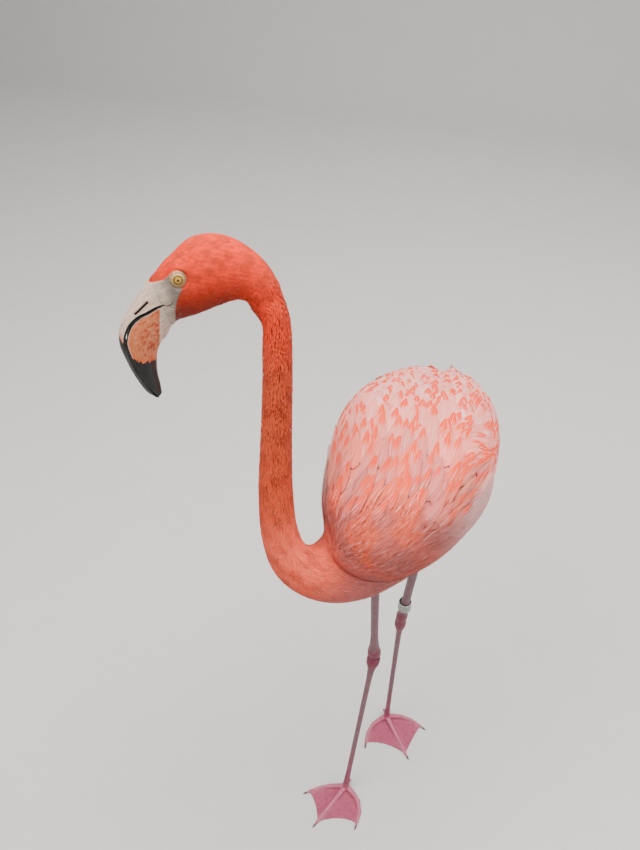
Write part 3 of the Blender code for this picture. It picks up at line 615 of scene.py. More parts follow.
class Coat:
    """Many feathers of one piece, gathered group by group."""

    def __init__(self):
        self.points, self.vanes, self.tints, self.blushes = [], [], [], []
        self.spots, self.faces, self.count = [], [], 0

    def add(self, ground, roots, lay, length, width, tint, blush, spot, outline=pointed,
            segments=3, columns=3, sink=0.0016, lift=0.0006, cup=0.08, sway=0.12, fray=0.0):
        """Feathers that start sunk under the surface and end a little over it.

        The spots are the roots' places on an unwrap of the skin, between 0 and 1. The cup
        is how far the edges droop as a share of half the width, sway turns the feathers a
        little out of their lay, and fray narrows each edge unevenly.
        """
        number = len(roots)
        place, normal = ground.nearest(roots)
        way = tangent_to(normal, lay(place) + DRAW.normal(0.0, sway, (number, 3)))
        bend = DRAW.normal(0.0, sway, (number, 1))
        step = (length / segments)[:, None]
        total = 0
        places, vanes = [], []
        for row in range(segments + 1):
            t = row / segments
            side = np.cross(way, normal)
            half = (width / 2 * outline(t))[:, None]
            height = -sink + (sink + lift) * t
            across = [0.0] if row == segments else np.linspace(-1.0, 1.0, columns)
            ragged = 1.0 - fray * t * DRAW.random((2, number, 1)) if fray else np.ones((2, 1, 1))
            for c in across:
                offset = half * c * ragged[int(c > 0.0)]
                places.append(place + side * offset + normal * (height - cup * half * c * c))
                vanes.append((c, t))
                total += 1
            if row == segments:
                break
            way = tangent_to(normal, way + side * bend / segments)
            ahead = place + way * step
            near, turned = ground.nearest(ahead)
            off = np.linalg.norm(near - ahead, axis=1, keepdims=True) > OFF_SURFACE * step
            place = np.where(off, (ahead + near) / 2, near)
            normal = turned
            way = tangent_to(normal, way * 1.2 + np.where(off, way, lay(place)) * 0.8)
        points = np.stack(places, axis=1)
        vane = np.empty((number, total, 3))
        vane[:, :, :2] = vanes
        vane[:, :, 2] = length[:, None]
        self.points.append(points.reshape(-1, 3))
        self.vanes.append(vane.reshape(-1, 3))
        self.tints.append(np.repeat(tint, total, axis=0))
        self.blushes.append(np.repeat(blush, total, axis=0))
        spots = np.repeat(spot[:, None, :], total, axis=1)
        spots[:, :, 0] += vane[:, :, 0] * PATCH_HALF_WIDTH
        spots[:, :, 1] += (vane[:, :, 1] - 0.5) * PATCH_LENGTH
        self.spots.append(spots.reshape(-1, 2))
        self.faces.append(self.feather_faces(number, total, segments, columns))
        self.count += number * total

    def feather_faces(self, number, total, segments, columns):
        """Triangles of each feather, from its root rows to its tip."""
        quads = grid_faces(segments, columns)
        tip = total - 1
        last = (segments - 1) * columns
        ends = np.array([(last + j, last + j + 1, tip) for j in range(columns - 1)])
        one = np.concatenate((quads[:, [0, 1, 2]], quads[:, [0, 2, 3]], ends))
        starts = self.count + np.arange(number)[:, None, None] * total
        return (one[None] + starts).reshape(-1, 3)

    def finish(self, name, finish, slot):
        """The gathered feathers as one riding piece with its colours and unwrap."""
        mesh = new_mesh(name, np.concatenate(self.points), np.concatenate(self.faces))
        add_values(mesh, "vane", np.concatenate(self.vanes))
        for field, rows in (("tint", self.tints), ("blush", self.blushes)):
            rows = np.concatenate(rows)
            if rows.shape[1] == 3:
                rows = np.column_stack((rows, np.ones(len(rows))))
            add_values(mesh, field, rows)
        spots = np.concatenate(self.spots)
        corners = np.zeros(len(mesh.loops), dtype=np.int64)
        mesh.loops.foreach_get("vertex_index", corners)
        unwrap = mesh.uv_layers.new(name="OFBake")
        unwrap.data.foreach_set("uv", spots[corners].astype(np.float32).ravel())
        print(name, "triangles", len(mesh.polygons))
        add_piece(name, mesh, [finish])


# ----------------------------------------------------------------------- head and bill
SKULL_FLAT = np.array([(*crown, *throat, width) for crown, throat, width in SKULL_STATIONS])
SKULL_AT = np.concatenate(([0.0], np.cumsum(np.linalg.norm(np.diff(SKULL_FLAT, axis=0), axis=1))))
EYE_OPENING = (0.0046, 0.0045)  # half length and half height between the lids
EYE_RING = (0.0083, 0.0084)  # half length and half height of the bare ring round the eye
CHEEK_EDGE = (  # heights and the x where the cheek's feathers end, below the eye
    (-0.0600, 0.0085), (-0.0480, 0.0080), (-0.0406, 0.0072), (-0.0324, 0.0065),
    (-0.0267, 0.0052), (-0.0210, 0.0037), (-0.0155, 0.0008), (-0.0101, -0.0023),
    (-0.0050, -0.0010), (0.0000, 0.0040), (0.0050, 0.0075), (0.0200, 0.0200),
)
FOREHEAD_EDGE = (  # x and the height above which the forehead is feathered
    (0.0000, 0.0084), (0.0075, 0.0050), (0.0099, 0.0019), (0.0134, -0.0006), (0.0167, -0.0020),
    (0.0203, -0.0030), (0.0240, -0.0040), (0.0280, -0.0050), (0.0303, -0.0054), (0.0325, 0.0100),
)
MOUTH_CORNER = 0.0166  # x where the slit of the mouth begins
FACE_REACH = 0.0085  # how far the face's skin runs on under the bill
NAPE_TUCK = 0.0022  # depth of the head's first ring under the neck's surface
RING_CREASE = 0.0065  # distance from the eye's middle of the fold round the lids
CORNER_GROOVE = ((0.0177, -0.0247), (0.0140, -0.0257), (0.0105, -0.0250), (0.0070, -0.0215))
CHEEK_CREASE = ((0.0275, -0.0200), (0.0214, -0.0207), (0.0160, -0.0213), (0.0112, -0.0222))
# Hollows (above 0) and swellings (below 0) of the face: depth, middle x and z, half sizes.
FACE_FORMS = (
    (0.0011, 0.0130, -0.0065, 0.006, 0.005),
    (-0.0019, 0.0030, 0.0095, 0.011, 0.0050),
)


def skull_places(at, turns):
    """Places on the skull and bill at distances along them and angles round them."""
    rows = curve_at(SKULL_FLAT, SKULL_AT, at)
    c, s = np.cos(turns), np.sin(turns)
    across = np.sign(c) * np.abs(c) ** (2.0 / SKULL_POWER)
    upward = np.sign(s) * np.abs(s) ** (2.0 / SKULL_POWER)
    middle = (rows[:, None, 0:2] + rows[:, None, 2:4]) / 2
    rise = (rows[:, None, 0:2] - rows[:, None, 2:4]) / 2
    flat = middle + rise * upward[..., None]
    sideways = across * rows[:, None, 4]
    return np.stack((flat[..., 0], sideways, flat[..., 1]), axis=-1)


def crowded(low, high, count, spots, width, strength):
    """Numbers from low to high that lie closer together near the spots."""
    fine = np.linspace(low, high, 4000)
    density = np.ones_like(fine)
    for spot in spots:
        density += strength * np.exp(-(((fine - spot) / width) ** 2))
    mass = np.concatenate(([0.0], np.cumsum((density[1:] + density[:-1]) / 2)))
    return np.interp(np.linspace(0.0, mass[-1], count), mass, fine)


def bare_face(p):
    """How far inside the bare face a place of the head lies, in metres, below 0 outside."""
    heights, edges = np.array(CHEEK_EDGE).T
    x, z = p[:, 0], p[:, 2]
    cheek = x - np.interp(z, heights, edges)
    along, tops = np.array(FOREHEAD_EDGE).T
    forehead = np.interp(x, along, tops) - z
    ring = (1.0 - np.hypot(x / EYE_RING[0], z / EYE_RING[1])) * EYE_RING[0]
    return np.maximum(np.minimum(cheek, forehead), ring)


def beside_line(points, line):
    """Distance of each place from a line, both seen from the side of the head."""
    fine = curve_through(line, 60)
    gap = np.linalg.norm(points[:, None, [0, 2]] - fine[None], axis=2).min(axis=1)
    return np.where(np.abs(points[:, 1]) > 0.0035, gap, 1.0)


def mouth_corner_line():
    """The part of the mouth's line that runs over the face, from its corner on."""
    line = curve_through(GAPE, 400)
    return line[(line[:, 0] > MOUTH_CORNER) & (line[:, 1] > -0.040)]


MOUTH_CORNER_LINE = mouth_corner_line()
# Creases (above 0) and the swelling beside one: depth, line, height over it, half width.
FACE_CREASES = (
    (0.0006, MOUTH_CORNER_LINE, 0.0, 0.0006),
    (0.0004, CORNER_GROOVE, 0.0, 0.0006),
    (0.0003, CHEEK_CREASE, 0.0, 0.0005),
    (-0.0003, CHEEK_CREASE, 0.0011, 0.0007),
)


def head_surface():
    """The head without its feathers' depth, lids and folds modelled, in the head's frame."""
    joint = SKULL_AT[BILL_STARTS_AT]
    eye_at = np.interp(0.0, [-0.0133, 0.0010], SKULL_AT[6:8])
    at = crowded(SKULL_AT[0], joint + FACE_REACH, 200, [eye_at + 0.002], 0.012, 3.0)
    eye_turn = math.radians(22.0)
    turns = crowded(-math.pi / 2, 1.5 * math.pi, 281, [eye_turn, math.pi - eye_turn], 0.42, 3.0)
    places = skull_places(at, turns[:-1])
    return at, places


def shaped_head(places, at, under_bill):
    """Lids, folds and the hollow of the lores raised and sunk on the head's surface.

    under_bill is how far the face's skin sinks where it runs on below the bill.
    """
    shape = places.shape
    p = places.reshape(-1, 3).copy()
    side = np.sign(p[:, 1])
    x, z = p[:, 0], p[:, 2]
    normals = point_normals(p, grid_faces(shape[0], shape[1], closed=True))
    bare = smooth(bare_face(p), -0.0006, 0.0006)
    sink = HEAD_COAT * (1.0 - bare)
    for depth, middle_x, middle_z, long, high in FACE_FORMS:
        spread = ((x - middle_x) / long) ** 2 + ((z - middle_z) / high) ** 2
        sink += depth * np.exp(-spread)
    for depth, line, above, width in FACE_CREASES:
        gap = beside_line(p - (0.0, 0.0, above), line)
        sink += depth * np.exp(-((gap / width) ** 2))
    wrinkles = clouds(p * (1.0, 0.5, 1.6), 0.0042, 3.0) - 0.5
    sink += 0.00022 * wrinkles * bare
    beyond = np.repeat(at - SKULL_AT[BILL_STARTS_AT], shape[1])
    sink += under_bill * smooth(beyond, 0.0012, 0.0040) - 0.00012 * bare
    sink += NAPE_TUCK * (1.0 - smooth(beyond - beyond[0], 0.0, 0.014))
    p = p - normals * sink[:, None]
    radius = np.hypot(x / EYE_OPENING[0], z / EYE_OPENING[1])
    reach = np.hypot(x, z)
    ball = EYE_SIDEWAYS + np.sqrt(np.clip(EYE_RADIUS**2 - reach**2, 0.0, None))
    turn = np.arctan2(z, x)
    rim = ball + 0.00045 - 0.0010 * (1.0 - smooth(radius, 0.93, 1.03))
    folds = 0.00013 * np.sin(reach / 0.00042 + 1.2 * np.sin(turn * 5.0) + 0.6 * np.sin(turn * 11.0))
    lid = rim + folds * smooth(radius, 1.08, 1.25)
    lid += 0.00035 * np.exp(-(((radius - 1.10) / 0.07) ** 2))
    share = smooth(radius, 1.20, 2.35)
    height = lid * (1.0 - share) + np.abs(p[:, 1]) * share
    height -= 0.00035 * np.exp(-(((reach - RING_CREASE) / 0.00035) ** 2))
    near = (radius < 2.4) & (np.abs(p[:, 1]) > 0.010)
    p[near, 1] = (side * height)[near]
    return p.reshape(shape)


def gape_levels(at):
    """Where the mouth's line crosses each ring, from -1 at the throat to 1 at the crown."""
    rows = curve_at(SKULL_FLAT, SKULL_AT, at)
    line = curve_through(GAPE, 400)
    levels = []
    for top_x, top_z, low_x, low_z, _ in rows:
        middle = np.array(((top_x + low_x) / 2, (top_z + low_z) / 2))
        rise = np.array(((top_x - low_x) / 2, (top_z - low_z) / 2))
        out = line - middle
        beside = np.abs(out[:, 0] * rise[1] - out[:, 1] * rise[0]) / np.linalg.norm(rise)
        level = out @ rise / (rise @ rise)
        beside = beside + 0.05 * (np.abs(level) > 1.1)
        levels.append(level[beside.argmin()])
    return np.array(levels)


NOSTRIL = ((0.0317, -0.0218), (0.0370, -0.0264), (0.0426, -0.0312), (0.0451, -0.0331))
# Half width of the black band along the lips at heights in the head's frame.
LIP_BAND = ((-0.0570, 0.0023), (-0.0390, 0.0018), (-0.0272, 0.0010), (-0.0249, 0.0006))
LIP_GAP = 0.00055  # half of the dark gap between the closed halves of the bill
LIP_ROUND = 0.0009  # width of the rounding of the lips
BILL_TUCK = 0.0022  # depth of the bill's first rings under the face's skin


BILL_INSIDE = 0.012  # how far the horn runs back under the face
BILL_TIP = 0.004  # length of the tip, over which lips and grooves fade out
BILL_RINGS = 230  # before the tip
TIP_RINGS = 14
BILL_COLUMNS = 120  # from lip to lip
MOUTH_COLUMNS = 14
MOUTH_HOLLOW = 0.0012  # depth of the hollow inside each half
NOSTRIL_DEPTH = 0.0016
NOSTRIL_WIDTH = 0.0009  # half width


def bill_outside(at, upper):
    """Rings of one half of the bill, each from lip to lip."""
    levels = np.clip(gape_levels(at), -0.97, 0.97)
    lip_turns = np.arcsin(np.sign(levels) * np.abs(levels) ** (SKULL_POWER / 2.0))
    share = (1.0 - np.cos(np.linspace(0.0, math.pi, BILL_COLUMNS))) / 2
    rows = []
    for distance, lip in zip(at, lip_turns):
        if upper:
            turns = lip + (math.pi - 2.0 * lip) * share
        else:
            turns = -math.pi - lip + (math.pi + 2.0 * lip) * share
        rows.append(skull_places(np.array([distance]), turns)[0])
    return np.array(rows)


def outward_normals(outside):
    """Smooth normals of a half of the bill, all pointing out."""
    faces = grid_faces(*outside.shape[:2])
    normals = point_normals(outside.reshape(-1, 3), faces).reshape(outside.shape)
    probe = (100, BILL_COLUMNS // 2)
    outward = outside[probe] - outside[probe[0]].mean(axis=0)
    return -normals if dot(normals[probe], outward) < 0 else normals


def horn_depth(outside, at, edge, nostril, upper):
    """How deep the horn lies under the plain form: lips, nostril, and base under the face."""
    tuck = LIP_ROUND * (1.0 - np.clip(edge / LIP_ROUND, 0.0, 1.0)) ** 2
    lip_swell = 0.00025 * np.exp(-(((edge - 0.0016) / 0.0008) ** 2))
    cut = np.zeros_like(edge)
    if upper:
        off_face = -bare_face(outside.reshape(-1, 3))
        cut += 0.0013 * smooth(off_face, 0.0, 0.0010).reshape(edge.shape)
        cut += NOSTRIL_DEPTH * np.exp(-((nostril / NOSTRIL_WIDTH) ** 2))
        cut -= 0.0003 * np.exp(-(((nostril - 0.0016) / 0.0008) ** 2))
    cut += BILL_TUCK * (1.0 - smooth(at - SKULL_AT[BILL_STARTS_AT], -0.0005, 0.0030))[:, None]
    return tuck - lip_swell + cut


def make_bill_half(name, upper):
    """One half of the bill: its outside from lip to lip and a flat face inside the mouth."""
    end = SKULL_AT[-1]
    rear = np.linspace(SKULL_AT[BILL_STARTS_AT] - BILL_INSIDE, end - BILL_TIP, BILL_RINGS)
    tip_shares = np.linspace(0.0, 1.0, TIP_RINGS)[1:]
    at = np.concatenate((rear, end - BILL_TIP * (1.0 - tip_shares**0.6)))
    outside = bill_outside(at, upper)
    edge = np.minimum(np.linalg.norm(outside - outside[:, :1], axis=2),
                      np.linalg.norm(outside - outside[:, -1:], axis=2))
    nostril = beside_line(outside.reshape(-1, 3), NOSTRIL).reshape(edge.shape)
    rise = outside[:, BILL_COLUMNS // 2] - (outside[:, 0] + outside[:, -1]) / 2
    rise = unit(rise)[:, None, :]
    fade = np.clip((end - at) / BILL_TIP, 0.0, 1.0)[:, None]
    depth = (horn_depth(outside, at, edge, nostril, upper) * fade)[..., None]
    gap = (LIP_GAP * (1.0 - smooth(edge, 0.0, 0.004)) * fade)[..., None]
    shaped = outside - outward_normals(outside) * depth + rise * gap
    across = np.linspace(0.0, 1.0, MOUTH_COLUMNS)[1:-1]
    inner = shaped[:, -1:] * (1.0 - across[:, None]) + shaped[:, :1] * across[:, None]
    hollow = (MOUTH_HOLLOW * np.sin(math.pi * across))[None, :, None]
    inner = inner + rise * hollow * fade[..., None]
    rings = np.concatenate((shaped, inner), axis=1)
    total = rings.shape[1]
    ends = np.stack((rings[0].mean(axis=0), rings[-1].mean(axis=0)))
    points = np.concatenate((rings.reshape(-1, 3), ends))
    cap = fan_faces(0, total, len(points) - 2, False)
    tip = fan_faces((len(at) - 1) * total, total, len(points) - 1, True)

    def whole(values, inner_value):
        """Values of all points: the outside's, and one for the mouth and the two ends."""
        mouth = np.full((len(at), len(across)), inner_value)
        rows = np.concatenate((values, mouth), axis=1)
        return np.append(rows.ravel(), (inner_value, inner_value))

    mesh = new_mesh(name, moved(HEAD_MATRIX, points), grid_faces(len(at), total, closed=True),
                    np.concatenate((cap, tip)))
    bm = bmesh.new()
    bm.from_mesh(mesh)
    bmesh.ops.recalc_face_normals(bm, faces=bm.faces)
    bm.to_mesh(mesh)
    bm.free()
    mesh.shade_smooth()
    lip, slit = whole(edge, 0.0), whole(nostril, 1.0)
    add_values(mesh, "marks", bill_marks(points, whole(np.zeros_like(edge), 1.0), upper))
    add_values(mesh, "bare", bare_face(points) + 1.0 * (not upper))
    heights, halves = np.array(LIP_BAND).T
    band = np.interp(points[:, 2], heights, halves) - lip
    add_values(mesh, "edges", np.column_stack((lip, slit, band)))
    along = np.append(np.repeat(at, total), (at[0], at[-1]))
    round_it = np.append(np.tile(np.linspace(0.0, 1.0, total), len(at)), (0.5, 0.5))
    is_upper = np.full(len(along), float(upper))
    add_values(mesh, "grain", np.column_stack((along, round_it, is_upper)))
    add_piece(name, mesh, [BILL_FINISH], [name])


# Where the bill turns black: x and height on the lower half, and on the upper half.
BLACK_LOWER = ((0.0450, -0.0838), (0.0540, -0.0779))
BLACK_UPPER = ((0.0575, -0.0665), (0.0645, -0.0565))


def bill_marks(p, inside, upper):
    """Signed depths in metres into the black tip and into the warm patch; 1 inside the mouth."""
    x, z = p[:, 0], p[:, 2]
    along, heights = np.array(BLACK_UPPER if upper else BLACK_LOWER).T
    black = np.interp(x, along, heights) - z
    patch = x - (0.0207 + 0.134 * (-0.0281 - z))
    return np.column_stack((black, patch, inside))


# ---------------------------------------------------------------------- eyes and claws
CORNEA_BULGE = 0.035  # share of the radius by which the clear front stands out
EYE_FIT = 0.985  # the eyeball's size against its socket's


def make_eye(side, sign):
    """A wet eyeball that looks out sideways, with its iris painted by angle."""
    rings, columns = 40, 48
    bend = np.linspace(0.0, math.pi, rings + 2)[1:-1]
    turn = np.linspace(0.0, 2.0 * math.pi, columns, endpoint=False)
    b, t = np.meshgrid(bend, turn, indexing="ij")
    bulge = 1.0 + CORNEA_BULGE * np.exp(-((b / 0.55) ** 2))
    radius = EYE_RADIUS * EYE_FIT
    p = np.stack((radius * np.sin(b) * np.cos(t),
                  sign * (EYE_SIDEWAYS + radius * bulge * np.cos(b)),
                  radius * np.sin(b) * np.sin(t)), axis=-1).reshape(-1, 3)
    poles = np.array(((0.0, sign * (EYE_SIDEWAYS + radius * (1.0 + CORNEA_BULGE)), 0.0),
                      (0.0, sign * (EYE_SIDEWAYS - radius), 0.0)))
    faces = grid_faces(rings, columns, closed=True)
    near = fan_faces(0, columns, rings * columns, True)
    far = fan_faces((rings - 1) * columns, columns, rings * columns + 1, False)
    if sign < 0:
        faces, near, far = faces[:, ::-1], near[:, ::-1], far[:, ::-1]
    points = np.concatenate((p, poles))
    mesh = new_mesh("eye_" + side, moved(HEAD_MATRIX, points), faces, near, far)
    gaze = np.hypot(p[:, 0], p[:, 2]) + 1.0 * (b.ravel() > 1.6)
    add_values(mesh, "gaze", np.append(gaze, (0, 1)))
    add_values(mesh, "around", np.append(np.arctan2(p[:, 2], p[:, 0]), (0.0, 0.0)))
    add_piece("eye_" + side, mesh, [EYE_FINISH], ["eye_" + side])


CLAW_BOW = 0.0006  # how far a claw's middle stands over the straight line to its tip


def make_claw(name):
    """A small curved claw over the solid one, from its wide end to its tip."""
    source = NODES[name].data
    p = np.zeros(len(source.vertices) * 3)
    source.vertices.foreach_get("co", p)
    p = np.unique(p.reshape(-1, 3).round(6), axis=0)
    middle = p.mean(axis=0)
    axis = np.linalg.svd(p - middle)[2][0]
    if axis[2] > 0:
        axis = -axis
    reach = (p - middle) @ axis
    base, tip = middle + axis * reach.min(), middle + axis * reach.max()
    radius = np.linalg.norm((p - base) - np.outer((p - base) @ axis, axis), axis=1).max()
    side = unit(np.cross(axis, (0.0, 0.0, 1.0)))
    over = np.cross(side, axis)
    rings, columns = 14, 16
    t = np.linspace(0.0, 1.0, rings)
    line = base + np.outer(t, tip - base) + np.outer(np.sin(math.pi * t) * CLAW_BOW, over)
    size = radius * (1.0 - 0.88 * t**1.6)
    size[0] *= 0.86
    turn = np.linspace(0.0, 2.0 * math.pi, columns, endpoint=False)
    ring = (np.cos(turn)[:, None] * side * 0.85 + np.sin(turn)[:, None] * over)
    points = (line[:, None, :] + ring[None] * size[:, None, None]).reshape(-1, 3)
    points[:, 2] = np.maximum(points[:, 2], 0.0)
    points = np.concatenate((points, line[[0, -1]] + axis * ((0.0,), (0.0003,))))
    cap = fan_faces(0, columns, rings * columns, False)
    end = fan_faces((rings - 1) * columns, columns, rings * columns + 1, True)
    mesh = new_mesh(name, points, grid_faces(rings, columns, closed=True), cap, end)
    add_values(mesh, "share", np.append(np.repeat(t, columns), (0.0, 1.0)))
    add_piece(name, mesh, [CLAW_FINISH], [name])


# ------------------------------------------------------------------------ legs and feet
LEGS = {
    "right": {"ankle": (-0.0225, -0.042, 0.337), "hip": (-0.0273, -0.0780, 0.7062),
              "toes": (-0.046, -0.115, 0.014)},
    "left": {"ankle": (0.007, 0.036, 0.342), "hip": (0.0400, -0.0040, 0.7062),
             "toes": (-0.001, 0.043, 0.014)},
}
# For each toe the direction it points in, in degrees, its length and its sideways bow.
FEET = {
    "right": ((-61.0, 0.071, 0.015), (-115.0, 0.086, 0.0), (-158.0, 0.071, -0.005)),
    "left": ((-2.0, 0.071, 0.009), (-52.0, 0.086, 0.0), (-113.0, 0.071, -0.012)),
}


def toe_line(hub, toe, count):
    """Places on the floor below a toe, from where the toes meet to its end."""
    degrees, length, bow = toe
    ahead = np.array((math.cos(math.radians(degrees)), math.sin(math.radians(degrees)), 0.0))
    leftward = np.array((-ahead[1], ahead[0], 0.0))
    share = np.linspace(0.0, 1.0, count)[:, None]
    return hub + ahead * length * share + leftward * bow * np.sin(math.pi * share)


def leg_numbers(points, side):
    """Height over the ankle, turn round the leg, distances from the nearest toe and the hub."""
    leg = LEGS[side]
    ankle = np.array(leg["ankle"]) + ORIGIN_SHIFT
    hip = np.array(leg["hip"]) + ORIGIN_SHIFT
    toes = np.array(leg["toes"]) + ORIGIN_SHIFT
    above = points[:, 2] > ankle[2]
    top = np.where(above[:, None], hip, ankle)
    low = np.where(above[:, None], ankle, toes)
    share = (points[:, 2] - low[:, 2]) / (top[:, 2] - low[:, 2])
    middle = low + (top - low) * share[:, None]
    out = points - middle
    forward = unit(toes - ankle + (0.0, 0.0, ankle[2] - toes[2]))
    turn = np.arctan2(out[:, 0] * forward[1] - out[:, 1] * forward[0],
                      out[:, 0] * forward[0] + out[:, 1] * forward[1])
    hub = np.array((toes[0], toes[1], 0.0))
    beside = np.full(len(points), 1.0)
    for toe in FEET[side]:
        line = toe_line(hub, toe, 60)
        gap = np.linalg.norm(points[:, None, :2] - line[None, :, :2], axis=2)
        beside = np.minimum(beside, gap.min(axis=1))
    from_hub = np.linalg.norm(points[:, :2] - hub[:2], axis=1)
    return points[:, 2] - ankle[2], turn, beside, from_hub


def leg_surface(side):
    """Skin of a bare leg and its webbed foot, with shields and creases raised on it."""
    names = [f"{part}_{side}" for part in LEG_PARTS]
    points, faces = merged_surface(names, LEG_VOXEL, LEG_PASSES)
    height, turn, beside, from_hub = leg_numbers(points, side)
    normals = point_normals(points, faces)
    on_foot = 1.0 - smooth(points[:, 2], 0.010, 0.026)
    shank = (1.0 - on_foot) * (1.0 - np.exp(-((height / 0.045) ** 2)))
    front = smooth(np.cos(turn), -0.1, 0.5)
    shields = np.abs(np.sin(math.pi * points[:, 2] / 0.0052 + 0.5 * turn))
    lift = 0.00016 * (shields**0.5 - 0.8) * shank * front
    joint = np.exp(-((height / 0.045) ** 2))
    lift += joint * 0.0004 * (clouds(points * (1.0, 1.0, 0.7), 0.010, 2.0) - 0.5)
    lift += joint * 0.0006 * np.exp(-((np.abs(turn) - 1.9) / 0.5) ** 2)
    toe = on_foot * (1.0 - smooth(beside, 0.003, 0.007))
    rings = np.abs(np.sin(math.pi * from_hub / 0.0036))
    lift += 0.00022 * (rings**0.5 - 0.8) * toe
    web = on_foot * smooth(beside, 0.004, 0.009) * smooth(normals[:, 2], 0.2, 0.6)
    folds = np.sin(from_hub * 900.0 + 30.0 * clouds(points, 0.03, 4.0))
    lift += web * (0.00018 * folds - 0.0006 * smooth(beside, 0.005, 0.014))
    points = points + normals * lift[:, None]
    points[:, 2] = np.where(points[:, 2] < 0.0006, 0.0, points[:, 2])
    joint_colour = np.exp(-(((height - 0.002) / 0.030) ** 4))
    shank_low = smooth(-height, 0.20, 0.30)
    marks = np.column_stack((joint_colour, on_foot, toe))
    grain = np.column_stack((height, turn, from_hub))
    return points, faces, marks, grain, shank_low


# -------------------------------------------------------------------------------- skin
def bridged_folds(points, faces):
    """The body's surface with the folds at the neck's two ends filled, as its feathers do."""
    throat = np.array(((SKULL_STATIONS[0][1][0], 0.0, SKULL_STATIONS[0][1][1]),))
    throat = moved(HEAD_MATRIX, throat)[0]
    at_chest = 1.0 - smooth(np.linalg.norm(points - NECK_BASE, axis=1), *CHEST_FOLD)
    at_throat = 1.0 - smooth(np.linalg.norm(points - throat, axis=1), *THROAT_FOLD)
    points = filled(points, faces, 0.95 * np.maximum(at_chest, at_throat), FOLD_PASSES)
    soft = relaxed(points, faces, SOFT_PASSES)
    return mixed(points, soft, at_chest), faces


def make_skin(body, head_points):
    """One skin for all the nodes of flesh: body, head, legs and feet."""
    points, faces = body
    normals = point_normals(points, faces)
    neck = on_neck(points)
    coat = BODY_COAT + (NECK_COAT - BODY_COAT) * neck
    coat = coat + SKULL_DIP * on_skull(points) * smooth(beyond_nape(points), 0.002, 0.014)
    skins = [(points - normals * coat[:, None], faces, 0)]
    tints = [plumage_tint(points)]
    grains = [np.zeros((len(points), 3))]
    marks = [np.zeros((len(points), 3))]
    rows, columns = head_points.shape[:2]
    flat = head_points.reshape(-1, 3)
    skins.append((moved(HEAD_MATRIX, flat), grid_faces(rows, columns, closed=True), 1))
    tints.append(head_tint(flat))
    grains.append(flat)
    bare = bare_face(flat)
    ring = np.hypot(flat[:, 0] / EYE_RING[0], flat[:, 2] / EYE_RING[1])
    ring = np.where(np.abs(flat[:, 1]) > 0.010, ring, 9.0)
    mouth = np.minimum(beside_line(flat, MOUTH_CORNER_LINE),
                       beside_line(flat, CORNER_GROOVE) + 0.00035)
    marks.append(np.column_stack((bare, ring, mouth)))
    for side in ("left", "right"):
        leg_points, leg_faces, mark, grain, shank_low = leg_surface(side)
        skins.append((leg_points, leg_faces, 2))
        tints.append(leg_tint(mark, shank_low, leg_points))
        grains.append(grain)
        marks.append(mark)
    start = 0
    all_faces, numbers = [], []
    for some_points, some_faces, number in skins:
        all_faces.append(some_faces + start)
        numbers.append(np.full(len(some_faces), number))
        start += len(some_points)
    mesh = new_mesh("skin", np.concatenate([s[0] for s in skins]), np.concatenate(all_faces))
    mesh.polygons.foreach_set("material_index", np.concatenate(numbers).astype(np.int32))
    tints = np.concatenate(tints)
    add_values(mesh, "tint", np.column_stack((tints, np.ones(len(tints)))))
    add_values(mesh, "marks", np.concatenate(marks))
    add_values(mesh, "grain", np.concatenate(grains))
    flesh = [name for name in NODES if name.startswith(BODY_PARTS + LEG_PARTS)]
    add_piece("skin", mesh, [DOWN_FINISH, FACE_FINISH, LEG_FINISH], flesh)


LORES_GREY = colour(0.46, 0.41, 0.37)
LORES_WARM = colour(0.70, 0.62, 0.55)
RING_CREAM = colour(0.84, 0.70, 0.46)
RING_PEACH = colour(0.74, 0.58, 0.42)
RING_BROWN = colour(0.34, 0.23, 0.10)
LEG_MAUVE = colour(0.48, 0.37, 0.40)
ANKLE_MAGENTA = colour(0.48, 0.17, 0.25)
WEB_PINK = colour(0.64, 0.25, 0.36)
TOE_PINK = colour(0.76, 0.42, 0.50)
SOLE_GREY = colour(0.62, 0.45, 0.48)


def head_feather_tint(p):
    """Ground colour of the feathered head, brightest on the crown and rusty on the cheek, darkened
    there as painted shade.
    """
    # The lower cheek turns dark rust: painted shade under the cheek.
    low = 1.0 - smooth(p[:, 2] + 0.12 * p[:, 0], -0.036, 0.004)
    low = low * smooth(p[:, 0], -0.085, -0.040)
    tint = mixed(HEAD_ORANGE, RUST_MOTTLE_AND_CHEEK_SHADE, 0.92 * low)
    patches = clouds(p, 0.016, 2.0)
    tint = mixed(tint, NECK_ORANGE, 0.5 * smooth(patches, 0.45, 0.8))
    return mixed(tint, NECK_ORANGE, 0.6 * smooth(-p[:, 0], 0.06, 0.10))


def head_tint(p):
    """Colour of the head's skin: the feathers' colour under them, pale on the bare face."""
    feathered = head_feather_tint(p) * 0.9
    bare = smooth(bare_face(p), -0.0004, 0.0004)
    lores = mixed(LORES_GREY, LORES_WARM, smooth(p[:, 0] - 0.3 * p[:, 2], 0.008, 0.024))
    lores = mixed(lores, LEG_MAUVE, 0.30 * smooth(-p[:, 2], 0.030, 0.055))
    ring = np.hypot(p[:, 0], p[:, 2])
    side = np.abs(p[:, 1]) > 0.010
    skin = mixed(lores, RING_PEACH, (1.0 - smooth(ring, 0.0078, 0.0086)) * side)
    skin = mixed(skin, RING_CREAM, (1.0 - smooth(ring, 0.0060, 0.0066)) * side)
    skin = mixed(skin, RING_BROWN, (1.0 - smooth(ring, 0.0047, 0.0050)) * side)
    return mixed(feathered, skin, bare)


